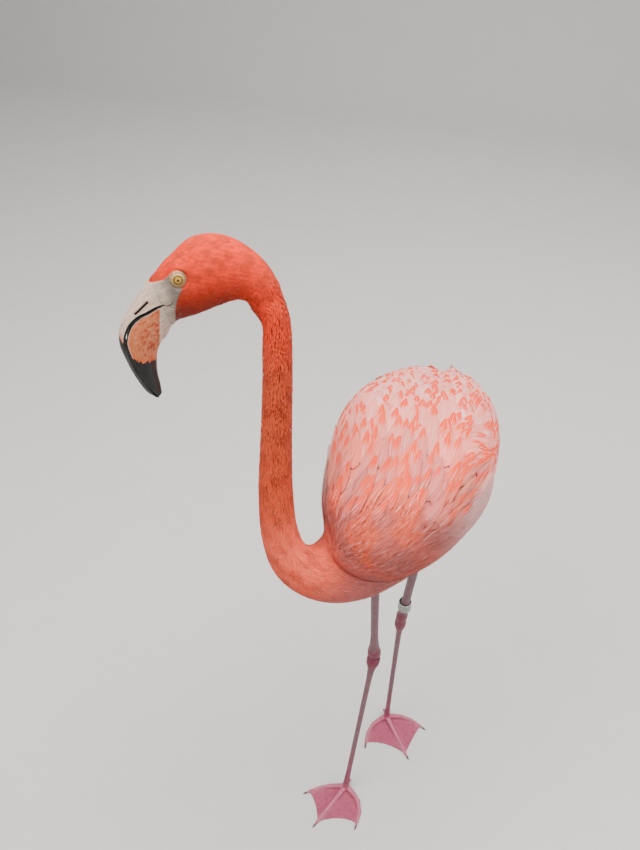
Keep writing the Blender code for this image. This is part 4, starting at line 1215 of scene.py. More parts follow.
def leg_tint(marks, shank_low, points):
    """Colour of the bare legs: mauve, deep pink joints, pink webs and paler toes."""
    joint, foot, toe = marks.T
    blotch = clouds(points, 0.012, 3.0)
    tint = mixed(LEG_MAUVE, ANKLE_MAGENTA, 0.16 + 0.22 * smooth(blotch, 0.4, 0.9))
    tint = mixed(tint, ANKLE_MAGENTA, np.clip(joint * (0.8 + 0.4 * blotch), 0.0, 1.0))
    tint = mixed(tint, WEB_PINK, 0.5 * shank_low)
    tint = mixed(tint, WEB_PINK, foot)
    tint = mixed(tint, TOE_PINK, 0.8 * toe)
    flat = 1.0 - smooth(points[:, 2], 0.0, 0.0012)
    return mixed(tint, SOLE_GREY, flat * foot)


# -------------------------------------------------------------------------------- ring
BAND_ABOVE_ANKLE = 0.052
BAND_HEIGHT = 0.018
BAND_OUTER = 0.0110
BAND_WALL = 0.0013
BAND_TILT = math.radians(7.0)
BAND_ROUND = 0.00035  # of the ring's edges


def make_band():
    """A loose plain ring round the left leg, with rounded edges and a closed split."""
    ankle = Vector(LEGS["left"]["ankle"]) + Vector(ORIGIN_SHIFT)
    hip = Vector(LEGS["left"]["hip"]) + Vector(ORIGIN_SHIFT)
    up = (hip - ankle).normalized()
    centre = ankle + up * BAND_ABOVE_ANKLE
    place = Matrix.Translation(centre) @ up.to_track_quat("Z", "X").to_matrix().to_4x4()
    place = np.array(place @ Matrix.Rotation(BAND_TILT, 4, "Y"))
    profile = []
    half = BAND_HEIGHT / 2 - BAND_ROUND
    wall = BAND_WALL / 2 - BAND_ROUND
    for corner, (a, b) in enumerate(((1, 1), (-1, 1), (-1, -1), (1, -1))):
        for k in range(5):
            turn = math.radians(90.0 * corner + 22.5 * k)
            profile.append((BAND_OUTER - BAND_WALL / 2 + a * wall + BAND_ROUND * math.cos(turn),
                            b * half + BAND_ROUND * math.sin(turn)))
    profile = np.array(profile)
    turns = np.linspace(math.radians(1.5), math.radians(358.5), 120)
    p = np.stack((profile[None, :, 0] * np.cos(turns)[:, None],
                  profile[None, :, 0] * np.sin(turns)[:, None],
                  np.broadcast_to(profile[None, :, 1], (len(turns), len(profile)))), axis=-1)
    total = len(profile)
    faces = grid_faces(len(turns), total, closed=True)
    middle = p[[0, -1]].mean(axis=1)
    points = np.concatenate((p.reshape(-1, 3), middle))
    start = fan_faces(0, total, len(points) - 2, False)
    end = fan_faces((len(turns) - 1) * total, total, len(points) - 1, True)
    mesh = new_mesh("leg_band", moved(place, points), faces, start, end)
    depth = np.hypot(points[:, 0], points[:, 1])
    add_values(mesh, "grain", np.column_stack((depth, points[:, 2], np.zeros(len(depth)))))
    add_piece("leg_band", mesh, [BAND_FINISH], ["leg_band"])


# ----------------------------------------------------------------------------- finishes
SHAFT_PALE = colour(1.0, 0.90, 0.86)
FACE_MOTTLE = colour(0.66, 0.57, 0.52)
# Brown for painted shade in the folds and the crease round the eye.
FOLD_SHADE_BROWN = colour(0.42, 0.30, 0.19)
# Near black for painted shadow in the mouth's line and the groove at its corner.
MOUTH_CREASE_SHADE = colour(0.09, 0.065, 0.06)
WEB_LINE = colour(0.66, 0.26, 0.38)
SCALE_CRACK = colour(0.40, 0.20, 0.26)
HORN_PALE = colour(0.80, 0.69, 0.62)
HORN_SHADE = colour(0.66, 0.55, 0.48)
# Darker horn round the nostril and near black in its slit: painted shade in the groove.
NOSTRIL_RIM_SHADE = colour(0.56, 0.42, 0.35)
NOSTRIL_SHADE = colour(0.12, 0.08, 0.07)
WARM_HORN = colour(0.74, 0.41, 0.25)
WARM_STREAK = colour(0.62, 0.17, 0.04)
WARM_FLECK = colour(0.86, 0.60, 0.46)
RUSTY_EDGE = colour(0.80, 0.33, 0.14)
BLACK_HORN = colour(0.05, 0.045, 0.045)
# Paler black for streaks on the bill's tip: painted sheen.
BLACK_PAINTED_SHEEN = colour(0.13, 0.12, 0.115)
# Pale strip along the lower lip: a painted highlight.
LOWER_LIP_HIGHLIGHT = colour(0.94, 0.78, 0.68)
LIP_BLACK = colour(0.075, 0.06, 0.055)
# Near black for the inside of the mouth: painted shade between the closed halves.
MOUTH_INSIDE_SHADE = colour(0.05, 0.035, 0.03)
IRIS_GOLD = colour(0.80, 0.62, 0.22)
IRIS_RAY = colour(0.58, 0.42, 0.12)
IRIS_INNER = colour(0.36, 0.27, 0.10)
IRIS_LINE = colour(0.30, 0.20, 0.08)
IRIS_OUTER = colour(0.42, 0.30, 0.10)
EYE_RIM = colour(0.12, 0.08, 0.04)
PUPIL_BLACK = colour(0.01, 0.01, 0.01)
CLAW_BASE = colour(0.50, 0.36, 0.36)
CLAW_TIP = colour(0.16, 0.12, 0.12)
CLAW_WORN = colour(0.40, 0.30, 0.30)
BAND_GREY = colour(0.60, 0.63, 0.59)
BAND_SCUFF = colour(0.50, 0.52, 0.49)
# Darker grey for the ring's inside: painted shade.
BAND_INSIDE_SHADE = colour(0.22, 0.22, 0.21)
# Pale for the ring's top edge: painted highlight.
BAND_TOP_HIGHLIGHT = colour(0.84, 0.85, 0.80)


def new_finish(name, roughness, **constants):
    """A material with a Principled shader and constant values on the shader's own sockets."""
    finish = bpy.data.materials.new(name)
    finish.use_nodes = True
    shader = finish.node_tree.nodes["Principled BSDF"]
    shader.inputs["Roughness"].default_value = roughness
    for socket, value in constants.items():
        shader.inputs[socket.replace("_", " ")].default_value = value
    return finish, finish.node_tree, shader


def connect(tree, source, target):
    """Link a socket, or set a plain value, on a target socket."""
    if isinstance(source, bpy.types.NodeSocket):
        tree.links.new(source, target)
    else:
        target.default_value = source


def calculate(tree, operation, *values, clamp=False):
    """A Math node's result."""
    made = tree.nodes.new("ShaderNodeMath")
    made.operation = operation
    made.use_clamp = clamp
    for value, socket in zip(values, made.inputs):
        connect(tree, value, socket)
    return made.outputs[0]


def times(tree, a, b, clamp=False):
    """Two values multiplied."""
    return calculate(tree, "MULTIPLY", a, b, clamp=clamp)


def blended(tree, share, a, b, mode="MIX"):
    """Two colours mixed by a share."""
    made = tree.nodes.new("ShaderNodeMix")
    made.data_type = "RGBA"
    made.blend_type = mode
    connect(tree, share, made.inputs["Factor"])
    for value, socket in ((a, made.inputs[6]), (b, made.inputs[7])):
        if isinstance(value, np.ndarray):
            value = (*value, 1.0)
        connect(tree, value, socket)
    return made.outputs[2]


def stepped(tree, value, low, high, to_low=0.0, to_high=1.0):
    """A soft step of a value between two levels."""
    made = tree.nodes.new("ShaderNodeMapRange")
    made.interpolation_type = "SMOOTHSTEP"
    for number, source in enumerate((value, low, high, to_low, to_high)):
        connect(tree, source, made.inputs[number])
    return made.outputs[0]


def read(tree, name, output="Vector"):
    """A named attribute of the mesh."""
    made = tree.nodes.new("ShaderNodeAttribute")
    made.attribute_name = name
    return made.outputs[output]


def parts_of(tree, vector):
    """The three numbers of a vector."""
    made = tree.nodes.new("ShaderNodeSeparateXYZ")
    connect(tree, vector, made.inputs[0])
    return made.outputs


def vector_of(tree, *values):
    """A vector of three numbers."""
    made = tree.nodes.new("ShaderNodeCombineXYZ")
    for value, socket in zip(values, made.inputs):
        connect(tree, value, socket)
    return made.outputs[0]


def grain_of(tree, vector, scale, detail=3.0, distortion=0.0):
    """Noise between 0 and 1."""
    made = tree.nodes.new("ShaderNodeTexNoise")
    connect(tree, vector, made.inputs["Vector"])
    made.inputs["Scale"].default_value = scale
    made.inputs["Detail"].default_value = detail
    made.inputs["Distortion"].default_value = distortion
    return made.outputs["Fac"]


def raise_bumps(tree, shader, height, distance, strength=1.0):
    """A bump under the shader's normal."""
    made = tree.nodes.new("ShaderNodeBump")
    made.inputs["Distance"].default_value = distance
    made.inputs["Strength"].default_value = strength
    connect(tree, height, made.inputs["Height"])
    connect(tree, made.outputs[0], shader.inputs["Normal"])


def shaded(tree, tint, share):
    """A colour made darker or lighter by a share."""
    return blended(tree, 1.0, tint, vector_of(tree, share, share, share), "MULTIPLY")


def new_group(name, inputs, outputs):
    """An empty node group with named sockets."""
    group = bpy.data.node_groups.new(name, "ShaderNodeTree")
    for label, kind, value in inputs:
        socket = group.interface.new_socket(label, in_out="INPUT", socket_type=kind)
        if value is not None:
            socket.default_value = value
    for label, kind in outputs:
        group.interface.new_socket(label, in_out="OUTPUT", socket_type=kind)
    start = group.nodes.new("NodeGroupInput")
    end = group.nodes.new("NodeGroupOutput")
    return group, start.outputs, end.inputs


def place_group(tree, group, **values):
    """A group node with its inputs connected or set."""
    made = tree.nodes.new("ShaderNodeGroup")
    made.node_tree = group
    for label, value in values.items():
        connect(tree, value, made.inputs[label.replace("_", " ")])
    return made.outputs


def barbs_group():
    """Barbs of a vane: fine slanting lines, a pale shaft, and a centre that colours the end."""
    group, given, wanted = new_group(
        "feather barbs",
        (("Vane", "NodeSocketVector", None), ("Spacing", "NodeSocketFloat", 0.0009)),
        (("Lines", "NodeSocketFloat"), ("Shaft", "NodeSocketFloat"),
         ("Centre", "NodeSocketFloat"), ("Streaks", "NodeSocketFloat")),
    )
    across, along, length = parts_of(group, given["Vane"])
    off_shaft = calculate(group, "ABSOLUTE", across)
    distance = times(group, along, length)
    slanted = calculate(group, "SUBTRACT", distance, times(group, off_shaft, 0.004))
    turns = calculate(group, "DIVIDE", slanted, given["Spacing"])
    wave = calculate(group, "SINE", times(group, turns, 2.0 * math.pi))
    lines = calculate(group, "MULTIPLY_ADD", wave, 0.5, 0.5)
    connect(group, lines, wanted["Lines"])
    shaft = stepped(group, off_shaft, 0.03, 0.10, 1.0, 0.0)
    connect(group, times(group, shaft, stepped(group, along, 0.8, 0.98, 1.0, 0.0)),
            wanted["Shaft"])
    streak_place = vector_of(group, times(group, across, 5.0),
                             times(group, distance, 60.0), length)
    streaks = grain_of(group, streak_place, 1.0, 2.0)
    connect(group, streaks, wanted["Streaks"])
    narrow = calculate(group, "ADD", off_shaft,
                       calculate(group, "MULTIPLY_ADD", streaks, 0.7, -0.35))
    inner = stepped(group, narrow, 0.45, 0.95, 1.0, 0.0)
    late = stepped(group, along, 0.35, 0.75)
    connect(group, times(group, inner, late), wanted["Centre"])
    return group


def pores_group():
    """Fine leathery skin: pores, pebbles and creases as one height and one mottle."""
    group, given, wanted = new_group(
        "skin pores",
        (("Place", "NodeSocketVector", None), ("Size", "NodeSocketFloat", 1400.0)),
        (("Height", "NodeSocketFloat"), ("Mottle", "NodeSocketFloat")),
    )
    cells = group.nodes.new("ShaderNodeTexVoronoi")
    cells.feature = "DISTANCE_TO_EDGE"
    connect(group, given["Place"], cells.inputs["Vector"])
    connect(group, given["Size"], cells.inputs["Scale"])
    rim = stepped(group, cells.outputs["Distance"], 0.0, 0.25)
    fine = grain_of(group, given["Place"], 2600.0, 2.0)
    connect(group, calculate(group, "MULTIPLY_ADD", fine, 0.35, rim), wanted["Height"])
    connect(group, grain_of(group, given["Place"], 160.0, 4.0), wanted["Mottle"])
    return group


BARBS = barbs_group()
PORES = pores_group()


def place_of(tree):
    """The surface's place in the row frame, which moves with the piece."""
    made = tree.nodes.new("ShaderNodeTexCoord")
    return made.outputs["Object"]


def feather_finish(name, spacing, line_depth, blush_share):
    """Soft matte feathers: ground colour, coloured centres, pale shafts and fine barbs."""
    finish, tree, shader = new_finish(name, 0.78, Sheen_Weight=0.04, Sheen_Roughness=0.5,
                                      Specular_IOR_Level=0.12)
    barbs = place_group(tree, BARBS, Vane=read(tree, "vane"), Spacing=spacing)
    ground = read(tree, "tint", "Color")
    centre = times(tree, barbs["Centre"], read(tree, "blush", "Alpha"))
    centre = times(tree, centre, blush_share)
    tint = blended(tree, centre, ground, read(tree, "blush", "Color"))
    pale = stepped(tree, barbs["Streaks"], 0.35, 0.75, 0.86, 1.10)
    tint = shaded(tree, tint, pale)
    lines = stepped(tree, barbs["Lines"], 0.0, 1.0, 1.0 - line_depth, 1.0)
    tint = shaded(tree, tint, lines)
    tint = blended(tree, times(tree, barbs["Shaft"], 0.22), tint, SHAFT_PALE)
    connect(tree, tint, shader.inputs["Base Color"])
    raise_bumps(tree, shader, barbs["Lines"], 0.0002, 0.5)
    return finish


def down_finish():
    """The skin under the feathers, downy and in the coat's own colours."""
    finish, tree, shader = new_finish("down", 0.9, Sheen_Weight=0.2)
    down = grain_of(tree, place_of(tree), 700.0, 3.0)
    shade = stepped(tree, down, 0.3, 0.7, 0.75, 1.05)
    tint = shaded(tree, read(tree, "tint", "Color"), shade)
    connect(tree, tint, shader.inputs["Base Color"])
    raise_bumps(tree, shader, down, 0.0006, 0.7)
    return finish


def face_finish():
    """Bare face skin, softly streaked, rings of fine folds round the eye, and painted shade in its
    creases.
    """
    finish, tree, shader = new_finish("face skin", 0.55, Specular_IOR_Level=0.35)
    place = read(tree, "grain")
    _, ring, mouth = parts_of(tree, read(tree, "marks"))
    pores = place_group(tree, PORES, Place=place, Size=1700.0)
    x, y, z = parts_of(tree, place)
    flow = vector_of(tree, times(tree, x, 0.25), y, z)
    streaks = grain_of(tree, flow, 520.0, 4.0, 0.6)
    streak_shade = stepped(tree, streaks, 0.38, 0.64, 0.76, 1.08)
    tint = shaded(tree, read(tree, "tint", "Color"), streak_shade)
    tint = blended(tree, times(tree, stepped(tree, pores["Mottle"], 0.5, 0.8), 0.25),
                   tint, FACE_MOTTLE)
    squares = calculate(tree, "ADD", times(tree, x, x), times(tree, z, z))
    reach = calculate(tree, "SQRT", squares)
    fold = calculate(tree, "SINE", times(tree, reach, 2.0 * math.pi / 0.0009))
    fold = calculate(tree, "MULTIPLY_ADD", fold, 0.5, 0.5)
    in_ring = times(tree, stepped(tree, reach, 0.0048, 0.0053),
                    stepped(tree, ring, 0.95, 1.05, 1.0, 0.0))
    # Brown in the fine folds and in the crease round the lids: painted shade.
    fold_shade = times(tree, in_ring, stepped(tree, fold, 0.0, 0.35, 1.0, 0.0))
    broken = stepped(tree, grain_of(tree, place, 900.0, 2.0), 0.4, 0.6, 0.1, 0.45)
    fold_shade = times(tree, fold_shade, broken)
    off_crease = calculate(tree, "ABSOLUTE", calculate(tree, "SUBTRACT", reach, RING_CREASE))
    crease_shade = times(tree, stepped(tree, off_crease, 0.0001, 0.0005, 0.85, 0.0), in_ring)
    tint = blended(tree, calculate(tree, "MAXIMUM", fold_shade, crease_shade), tint, FOLD_SHADE_BROWN)
    # Near black along the mouth's line and the groove at its corner: painted shadow in the creases.
    tint = blended(tree, stepped(tree, mouth, 0.0006, 0.0010, 1.0, 0.0), tint, MOUTH_CREASE_SHADE)
    connect(tree, tint, shader.inputs["Base Color"])
    raise_bumps(tree, shader, calculate(tree, "MULTIPLY_ADD", streaks, 0.8, pores["Height"]),
                0.00018, 0.6)
    return finish


def leg_finish():
    """Bare scaled skin of the legs and webs."""
    finish, tree, shader = new_finish("leg skin", 0.5, Specular_IOR_Level=0.4)
    place = place_of(tree)
    pores = place_group(tree, PORES, Place=place, Size=620.0)
    _, foot, toe = parts_of(tree, read(tree, "marks"))
    height, _, from_hub = parts_of(tree, read(tree, "grain"))
    shade = stepped(tree, pores["Mottle"], 0.3, 0.75, 0.80, 1.10)
    tint = shaded(tree, read(tree, "tint", "Color"), shade)
    web_lines = vector_of(tree, times(tree, from_hub, 300.0), times(tree, height, 20.0), 0.0)
    line = grain_of(tree, web_lines, 1.0, 3.0, 1.5)
    on_web = times(tree, foot, calculate(tree, "SUBTRACT", 1.0, toe))
    web_share = times(tree, on_web, stepped(tree, line, 0.5, 0.7, 0.0, 0.35))
    tint = blended(tree, web_share, tint, WEB_LINE)
    crack = stepped(tree, pores["Height"], 0.15, 0.6, 0.22, 0.0)
    tint = blended(tree, crack, tint, SCALE_CRACK)
    connect(tree, tint, shader.inputs["Base Color"])
    raise_bumps(tree, shader, calculate(tree, "MULTIPLY_ADD", line, 0.4, pores["Height"]),
                0.00025, 0.6)
    return finish


def bill_finish():
    """Satin horn: pale base, warm streaked patch on the lower half, black tip with painted sheen,
    mouth in painted shade.
    """
    finish, tree, shader = new_finish("bill horn", 0.38, Specular_IOR_Level=0.45)
    black, patch, inside = parts_of(tree, read(tree, "marks"))
    _, slit, band = parts_of(tree, read(tree, "edges"))
    along, round_it, upper = parts_of(tree, read(tree, "grain"))
    place = place_of(tree)
    pores = place_group(tree, PORES, Place=place, Size=900.0)
    flow = vector_of(tree, times(tree, along, 110.0), times(tree, round_it, 44.0), upper)
    streaks = grain_of(tree, flow, 1.0, 5.0, 0.5)
    base = blended(tree, stepped(tree, streaks, 0.35, 0.7), HORN_PALE, HORN_SHADE)
    joint = float(SKULL_AT[BILL_STARTS_AT])
    base = blended(tree, stepped(tree, along, joint + 0.002, joint + 0.016, 0.9, 0.0), base,
                   LORES_WARM)
    # Darker round the nostril and near black in its slit: painted shade in the groove.
    base = blended(tree, stepped(tree, slit, 0.0008, 0.0030, 0.45, 0.0), base, NOSTRIL_RIM_SHADE)
    base = blended(tree, stepped(tree, slit, 0.0008, 0.0013, 1.0, 0.0), base, NOSTRIL_SHADE)
    lower = calculate(tree, "SUBTRACT", 1.0, upper)
    redder = times(tree, stepped(tree, streaks, 0.47, 0.62),
                   stepped(tree, patch, 0.006, 0.030, 1.0, 0.35))
    warm = blended(tree, redder, WARM_HORN, WARM_STREAK)
    warm = blended(tree, stepped(tree, pores["Mottle"], 0.5, 0.8, 0.0, 0.4), warm, WARM_FLECK)
    on_patch = times(tree, stepped(tree, patch, -0.0002, 0.0004), lower)
    on_patch = times(tree, on_patch, stepped(tree, along, joint + 0.001, joint + 0.008))
    tint = blended(tree, on_patch, base, warm)
    ragged = calculate(tree, "ADD", black, calculate(tree, "MULTIPLY_ADD", streaks, 0.012, -0.006))
    rusty = stepped(tree, ragged, -0.006, 0.0005, 0.0, 0.85)
    tint = blended(tree, rusty, tint, RUSTY_EDGE)
    # Paler streaks over the black tip: painted sheen.
    dark = blended(tree, stepped(tree, streaks, 0.5, 0.75, 0.0, 0.5), BLACK_HORN, BLACK_PAINTED_SHEEN)
    is_black = stepped(tree, ragged, 0.0, 0.0012)
    tint = blended(tree, is_black, tint, dark)
    # A pale strip beside the black band on the lower lip: painted highlight.
    beside = times(tree, stepped(tree, band, -0.0009, -0.0004), lower)
    beside = times(tree, beside, calculate(tree, "SUBTRACT", 0.6, is_black), clamp=True)
    tint = blended(tree, beside, tint, LOWER_LIP_HIGHLIGHT)
    wavy = calculate(tree, "ADD", band, calculate(tree, "MULTIPLY_ADD", streaks, 0.0012, -0.0006))
    tint = blended(tree, stepped(tree, wavy, -0.0002, 0.0002), tint, LIP_BLACK)
    tint = blended(tree, stepped(tree, read(tree, "bare", "Fac"), -0.0003, 0.0001, 1.0, 0.0), tint,
                   HEAD_ORANGE)
    # The faces inside the mouth are near black: painted shade in the gap between the halves.
    tint = blended(tree, inside, tint, MOUTH_INSIDE_SHADE)
    connect(tree, tint, shader.inputs["Base Color"])
    connect(tree, stepped(tree, streaks, 0.3, 0.7, 0.32, 0.48), shader.inputs["Roughness"])
    raise_bumps(tree, shader, calculate(tree, "MULTIPLY_ADD", streaks, 0.9, pores["Height"]),
                0.00016, 0.5)
    return finish


def eye_finish():
    """A clear wet eye: small pupil, olive gold iris with fine rays, dark brown rim."""
    finish, tree, shader = new_finish("eye", 0.12, Coat_Weight=0.3, Coat_Roughness=0.03,
                                      Specular_IOR_Level=0.15)
    gaze = read(tree, "gaze", "Fac")
    around = read(tree, "around", "Fac")
    rays = grain_of(tree, vector_of(tree, times(tree, around, 14.0),
                                    times(tree, gaze, 500.0), 0.0), 1.0, 3.0)
    iris = blended(tree, stepped(tree, rays, 0.35, 0.65), IRIS_GOLD, IRIS_RAY)
    iris = blended(tree, stepped(tree, gaze, 0.0010, 0.0018, 0.5, 0.0), iris, IRIS_INNER)
    thin = calculate(tree, "ABSOLUTE", calculate(tree, "SUBTRACT", gaze, 0.00335))
    iris = blended(tree, stepped(tree, thin, 0.00015, 0.00035, 0.8, 0.0), iris, IRIS_LINE)
    iris = blended(tree, stepped(tree, gaze, 0.0036, 0.0039, 0.0, 0.45), iris, IRIS_OUTER)
    iris = blended(tree, stepped(tree, gaze, 0.0041, 0.0044), iris, EYE_RIM)
    tint = blended(tree, stepped(tree, gaze, 0.0009, 0.0011, 1.0, 0.0), iris, PUPIL_BLACK)
    connect(tree, tint, shader.inputs["Base Color"])
    return finish


def claw_finish():
    """Dark horn, paler where it grows from the toe."""
    finish, tree, shader = new_finish("claw horn", 0.42)
    share = read(tree, "share", "Fac")
    grain = grain_of(tree, place_of(tree), 900.0, 3.0)
    tint = blended(tree, stepped(tree, share, 0.0, 0.5), CLAW_BASE, CLAW_TIP)
    tint = blended(tree, stepped(tree, grain, 0.4, 0.7, 0.0, 0.3), tint, CLAW_WORN)
    connect(tree, tint, shader.inputs["Base Color"])
    raise_bumps(tree, shader, grain, 0.0001, 0.5)
    return finish


def band_finish():
    """Dull grey-green plastic, scuffed on its outside, with painted shade within and a painted
    highlight on top.
    """
    finish, tree, shader = new_finish("ring plastic", 0.45)
    depth, height, _ = parts_of(tree, read(tree, "grain"))
    scuffs = grain_of(tree, place_of(tree), 420.0, 4.0, 0.8)
    tint = blended(tree, stepped(tree, scuffs, 0.45, 0.7), BAND_GREY, BAND_SCUFF)
    # Darker on the inside: painted shade between ring and leg.
    inner = stepped(tree, depth, BAND_OUTER - BAND_WALL * 0.85, BAND_OUTER - BAND_WALL * 0.4,
                    0.6, 0.0)
    tint = blended(tree, inner, tint, BAND_INSIDE_SHADE)
    # Paler along the top edge: painted highlight.
    rim = stepped(tree, height, BAND_HEIGHT / 2 - 0.0006, BAND_HEIGHT / 2 - 0.0001, 0.0, 0.7)
    tint = blended(tree, rim, tint, BAND_TOP_HIGHLIGHT)
    connect(tree, tint, shader.inputs["Base Color"])
    connect(tree, stepped(tree, scuffs, 0.3, 0.7, 0.35, 0.6), shader.inputs["Roughness"])
    raise_bumps(tree, shader, scuffs, 0.0001, 0.4)
    return finish


DOWN_FINISH = down_finish()
FACE_FINISH = face_finish()
LEG_FINISH = leg_finish()
BILL_FINISH = bill_finish()
EYE_FINISH = eye_finish()
CLAW_FINISH = claw_finish()
BAND_FINISH = band_finish()
FINE_FEATHERS = feather_finish("fine feathers", 0.0006, 0.10, 0.8)
BODY_FEATHERS = feather_finish("body feathers", 0.0009, 0.12, 1.0)
LONG_FEATHERS = feather_finish("long feathers", 0.0011, 0.10, 0.8)


# --------------------------------------------------------------------------------- coat
# How many feathers each piece has. The locks under the trunk are two pieces of this many.
HEAD_FEATHERS = 16000
NECK_FEATHERS = 19500
UNDER_LOCKS = 26000
BACK_FEATHERS = 680
LOOSE_PLUMES = 260


def spots_of(turn, along):
    """Places on an unwrap: turn round the skin in radians, and share of the way along it."""
    return np.column_stack((0.02 + 0.96 * (turn / (2.0 * math.pi) % 1.0),
                            0.02 + 0.96 * np.clip(along, 0.0, 1.0)))


def jitter(number, spread):
    """Random factors about 1."""
    return np.clip(DRAW.normal(1.0, spread, number), 1.0 - 2.5 * spread, 1.0 + 2.5 * spread)


def with_alpha(tint, alpha):
    """A blush colour and how strong it is."""
    return np.column_stack((np.broadcast_to(tint, (len(alpha), 3)), alpha))


def head_lay(points):
    """Head feathers lie backwards from the bill, down over the cheek and nape."""
    p = moved(HEAD_INVERSE, points)
    way = np.zeros_like(p)
    way[:, 0] = -1.0
    way[:, 2] = 0.55 * smooth(p[:, 0], -0.02, 0.02) - 0.75 * smooth(-p[:, 0], 0.015, 0.08)
    return unit(way @ HEAD_MATRIX[:3, :3].T)


def make_head_coat(head_ground):
    """Tiny close feathers of the head, up to the edge of the bare face."""
    coat = Coat()
    in_head = moved(HEAD_INVERSE, head_ground.middles)
    bare = bare_face(in_head)
    near_eye = np.hypot(in_head[:, 0], in_head[:, 2])
    weight = (bare < -0.0002) * (1.0 + 0.8 * (near_eye < 0.03))
    weight = weight * (beyond_nape(head_ground.middles) > 0.002)
    roots = head_ground.scatter(HEAD_FEATHERS, weight)
    p = moved(HEAD_INVERSE, roots)
    number = len(roots)
    edge = np.clip(-bare_face(p) / 0.006, 0.0, 1.0)
    size = (0.0019 + 0.0022 * edge + 0.0014 * smooth(-p[:, 0], 0.02, 0.08)) * jitter(number, 0.15)
    streak = clouds(p * (0.30, 1.0, 1.0), 0.0035, 7.0)[:, None]
    tint = head_feather_tint(p) * (0.78 + 0.40 * streak) * jitter(number, 0.06)[:, None]
    blush = with_alpha(HEAD_ORANGE * 1.1, DRAW.random(number) * 0.5)
    turn = np.arctan2(p[:, 2] + 0.01, p[:, 1])
    spot = spots_of(turn, (p[:, 0] + 0.11) / 0.14)
    coat.add(head_ground, roots, head_lay, size, size * 0.42, tint, blush, spot,
             segments=3, columns=2, sink=0.0004, lift=0.00035, sway=0.10, cup=0.0)
    coat.finish("head_feathers", FINE_FEATHERS, "neck_plumage")


def make_neck_coat(ground):
    """Short dense feathers of the neck, longer towards the chest."""
    share, distance, _, _ = along_neck(ground.middles)
    weight = smooth(share, NECK_SEAM[0] - 0.06, NECK_SEAM[0] + 0.04)
    weight = weight * (1.0 - smooth(distance, 1.6, 2.7))
    past = smooth(beyond_nape(ground.middles), 0.007, 0.013)
    weight = weight * (1.0 - past) * (0.7 + 0.5 * share)
    coat = Coat()
    roots = ground.scatter(NECK_FEATHERS, weight)
    share, _, _, turn = along_neck(roots)
    number = len(roots)
    length = (0.0050 + 0.0085 * (1.0 - smooth(share, 0.20, 0.70))) * jitter(number, 0.18)
    width = length * (0.34 - 0.06 * (1.0 - smooth(share, 0.25, 0.6))) * jitter(number, 0.12)
    tint = plumage_tint(roots) * jitter(number, 0.09)[:, None]
    blush = with_alpha(HEAD_ORANGE * 1.05, DRAW.random(number) * 0.7)
    coat.add(ground, roots, lay_of_coat, length, width, tint, blush, spots_of(turn, share),
             segments=3, columns=3, sink=0.0011, lift=0.0005, sway=0.13)
    coat.finish("neck_feathers", FINE_FEATHERS, "neck_plumage")


def trunk_regions(points):
    """Shares of the two regions of the trunk's coat at some points: chest and belly, back."""
    up, back, _ = round_trunk(points)
    neck = on_neck(points)
    over = smooth(up - wing_edge(back), -5.0, 5.0)
    over = over * smooth(back, 0.03, 0.14)
    thigh = 1.0 - smooth(points[:, 2], 0.645, 0.665)
    trunk = 1.0 - smooth(neck, 0.45, 1.0)
    return (1.0 - over) * trunk, over * trunk * (1.0 - thigh)


def trunk_spots(points):
    """Unwrap of the trunk: turn round its middle line, and way from chest to tail."""
    up, back, aside = round_trunk(points)
    turn = np.where(aside < 0.0, math.pi - np.radians(up), np.radians(up))
    return spots_of(turn + math.pi / 2, back * 0.9 + 0.05)


def make_under_coat(ground):
    """Fine hairlike plumage of chest, belly, flanks and thighs, in long flowing streaks."""
    low, _ = trunk_regions(ground.middles)
    for part in (1, 2):
        coat = Coat()
        roots = ground.scatter(UNDER_LOCKS, low)
        number = len(roots)
        flank = smooth(round_trunk(roots)[1], 0.25, 0.5)
        length = (0.0115 + 0.011 * flank) * jitter(number, 0.2)
        width = length * 0.115 * jitter(number, 0.2)
        tint = plumage_tint(roots)
        lighter = DRAW.random(number)[:, None]
        tint = tint * (0.70 + 0.46 * lighter)
        white = (DRAW.random(number) < 0.06 + 0.25 * flank)
        tint = mixed(tint, WHITE_PINK, (0.35 + 0.35 * flank) * white)
        blush = with_alpha(SALMON, DRAW.random(number) * 0.5)
        coat.add(ground, roots, lay_of_coat, length, width, tint, blush, trunk_spots(roots),
                 outline=strand, segments=3, columns=2, sink=0.0016, lift=0.0004 + 0.0004 * part,
                 sway=0.10, cup=0.0)
        coat.finish(f"under_plumage_{part}", FINE_FEATHERS, "plumage")


def make_back_coat(ground):
    """Small pointed feathers of the shoulders and back, with orange centres."""
    _, over = trunk_regions(ground.middles)
    coat = Coat()
    roots = ground.scatter(BACK_FEATHERS, over)
    number = len(roots)
    back = round_trunk(roots)[1]
    order = np.argsort(-back)
    roots, back = roots[order], back[order]
    length = (0.035 + 0.030 * smooth(back, 0.08, 0.40)) * jitter(number, 0.12)
    width = length * (0.38 + 0.05 * smooth(back, 0.4, 0.8)) * jitter(number, 0.10)
    width *= 1.0 - 0.45 * downy_patch(roots)
    tint = plumage_tint(roots)
    tint = mixed(tint, WHITE_PINK, 0.45 * DRAW.random(number) * smooth(back, 0.22, 0.5))
    tint = tint * jitter(number, 0.06)[:, None]
    orange = (DRAW.random(number) < 0.56 - 0.10 * smooth(back, 0.55, 0.9)) * 1.0
    strength = np.clip(orange * (0.75 + 0.25 * DRAW.random(number)) + 0.14, 0.0, 1.0)
    coat.add(ground, roots, lay_of_coat, length, width, tint, with_alpha(VIVID_ORANGE, strength),
             trunk_spots(roots), outline=pointed, segments=12, columns=7,
             sink=0.0022, lift=0.0040, sway=0.12, cup=0.10, fray=0.16)
    coat.finish("back_feathers", BODY_FEATHERS, "wing_plumage")


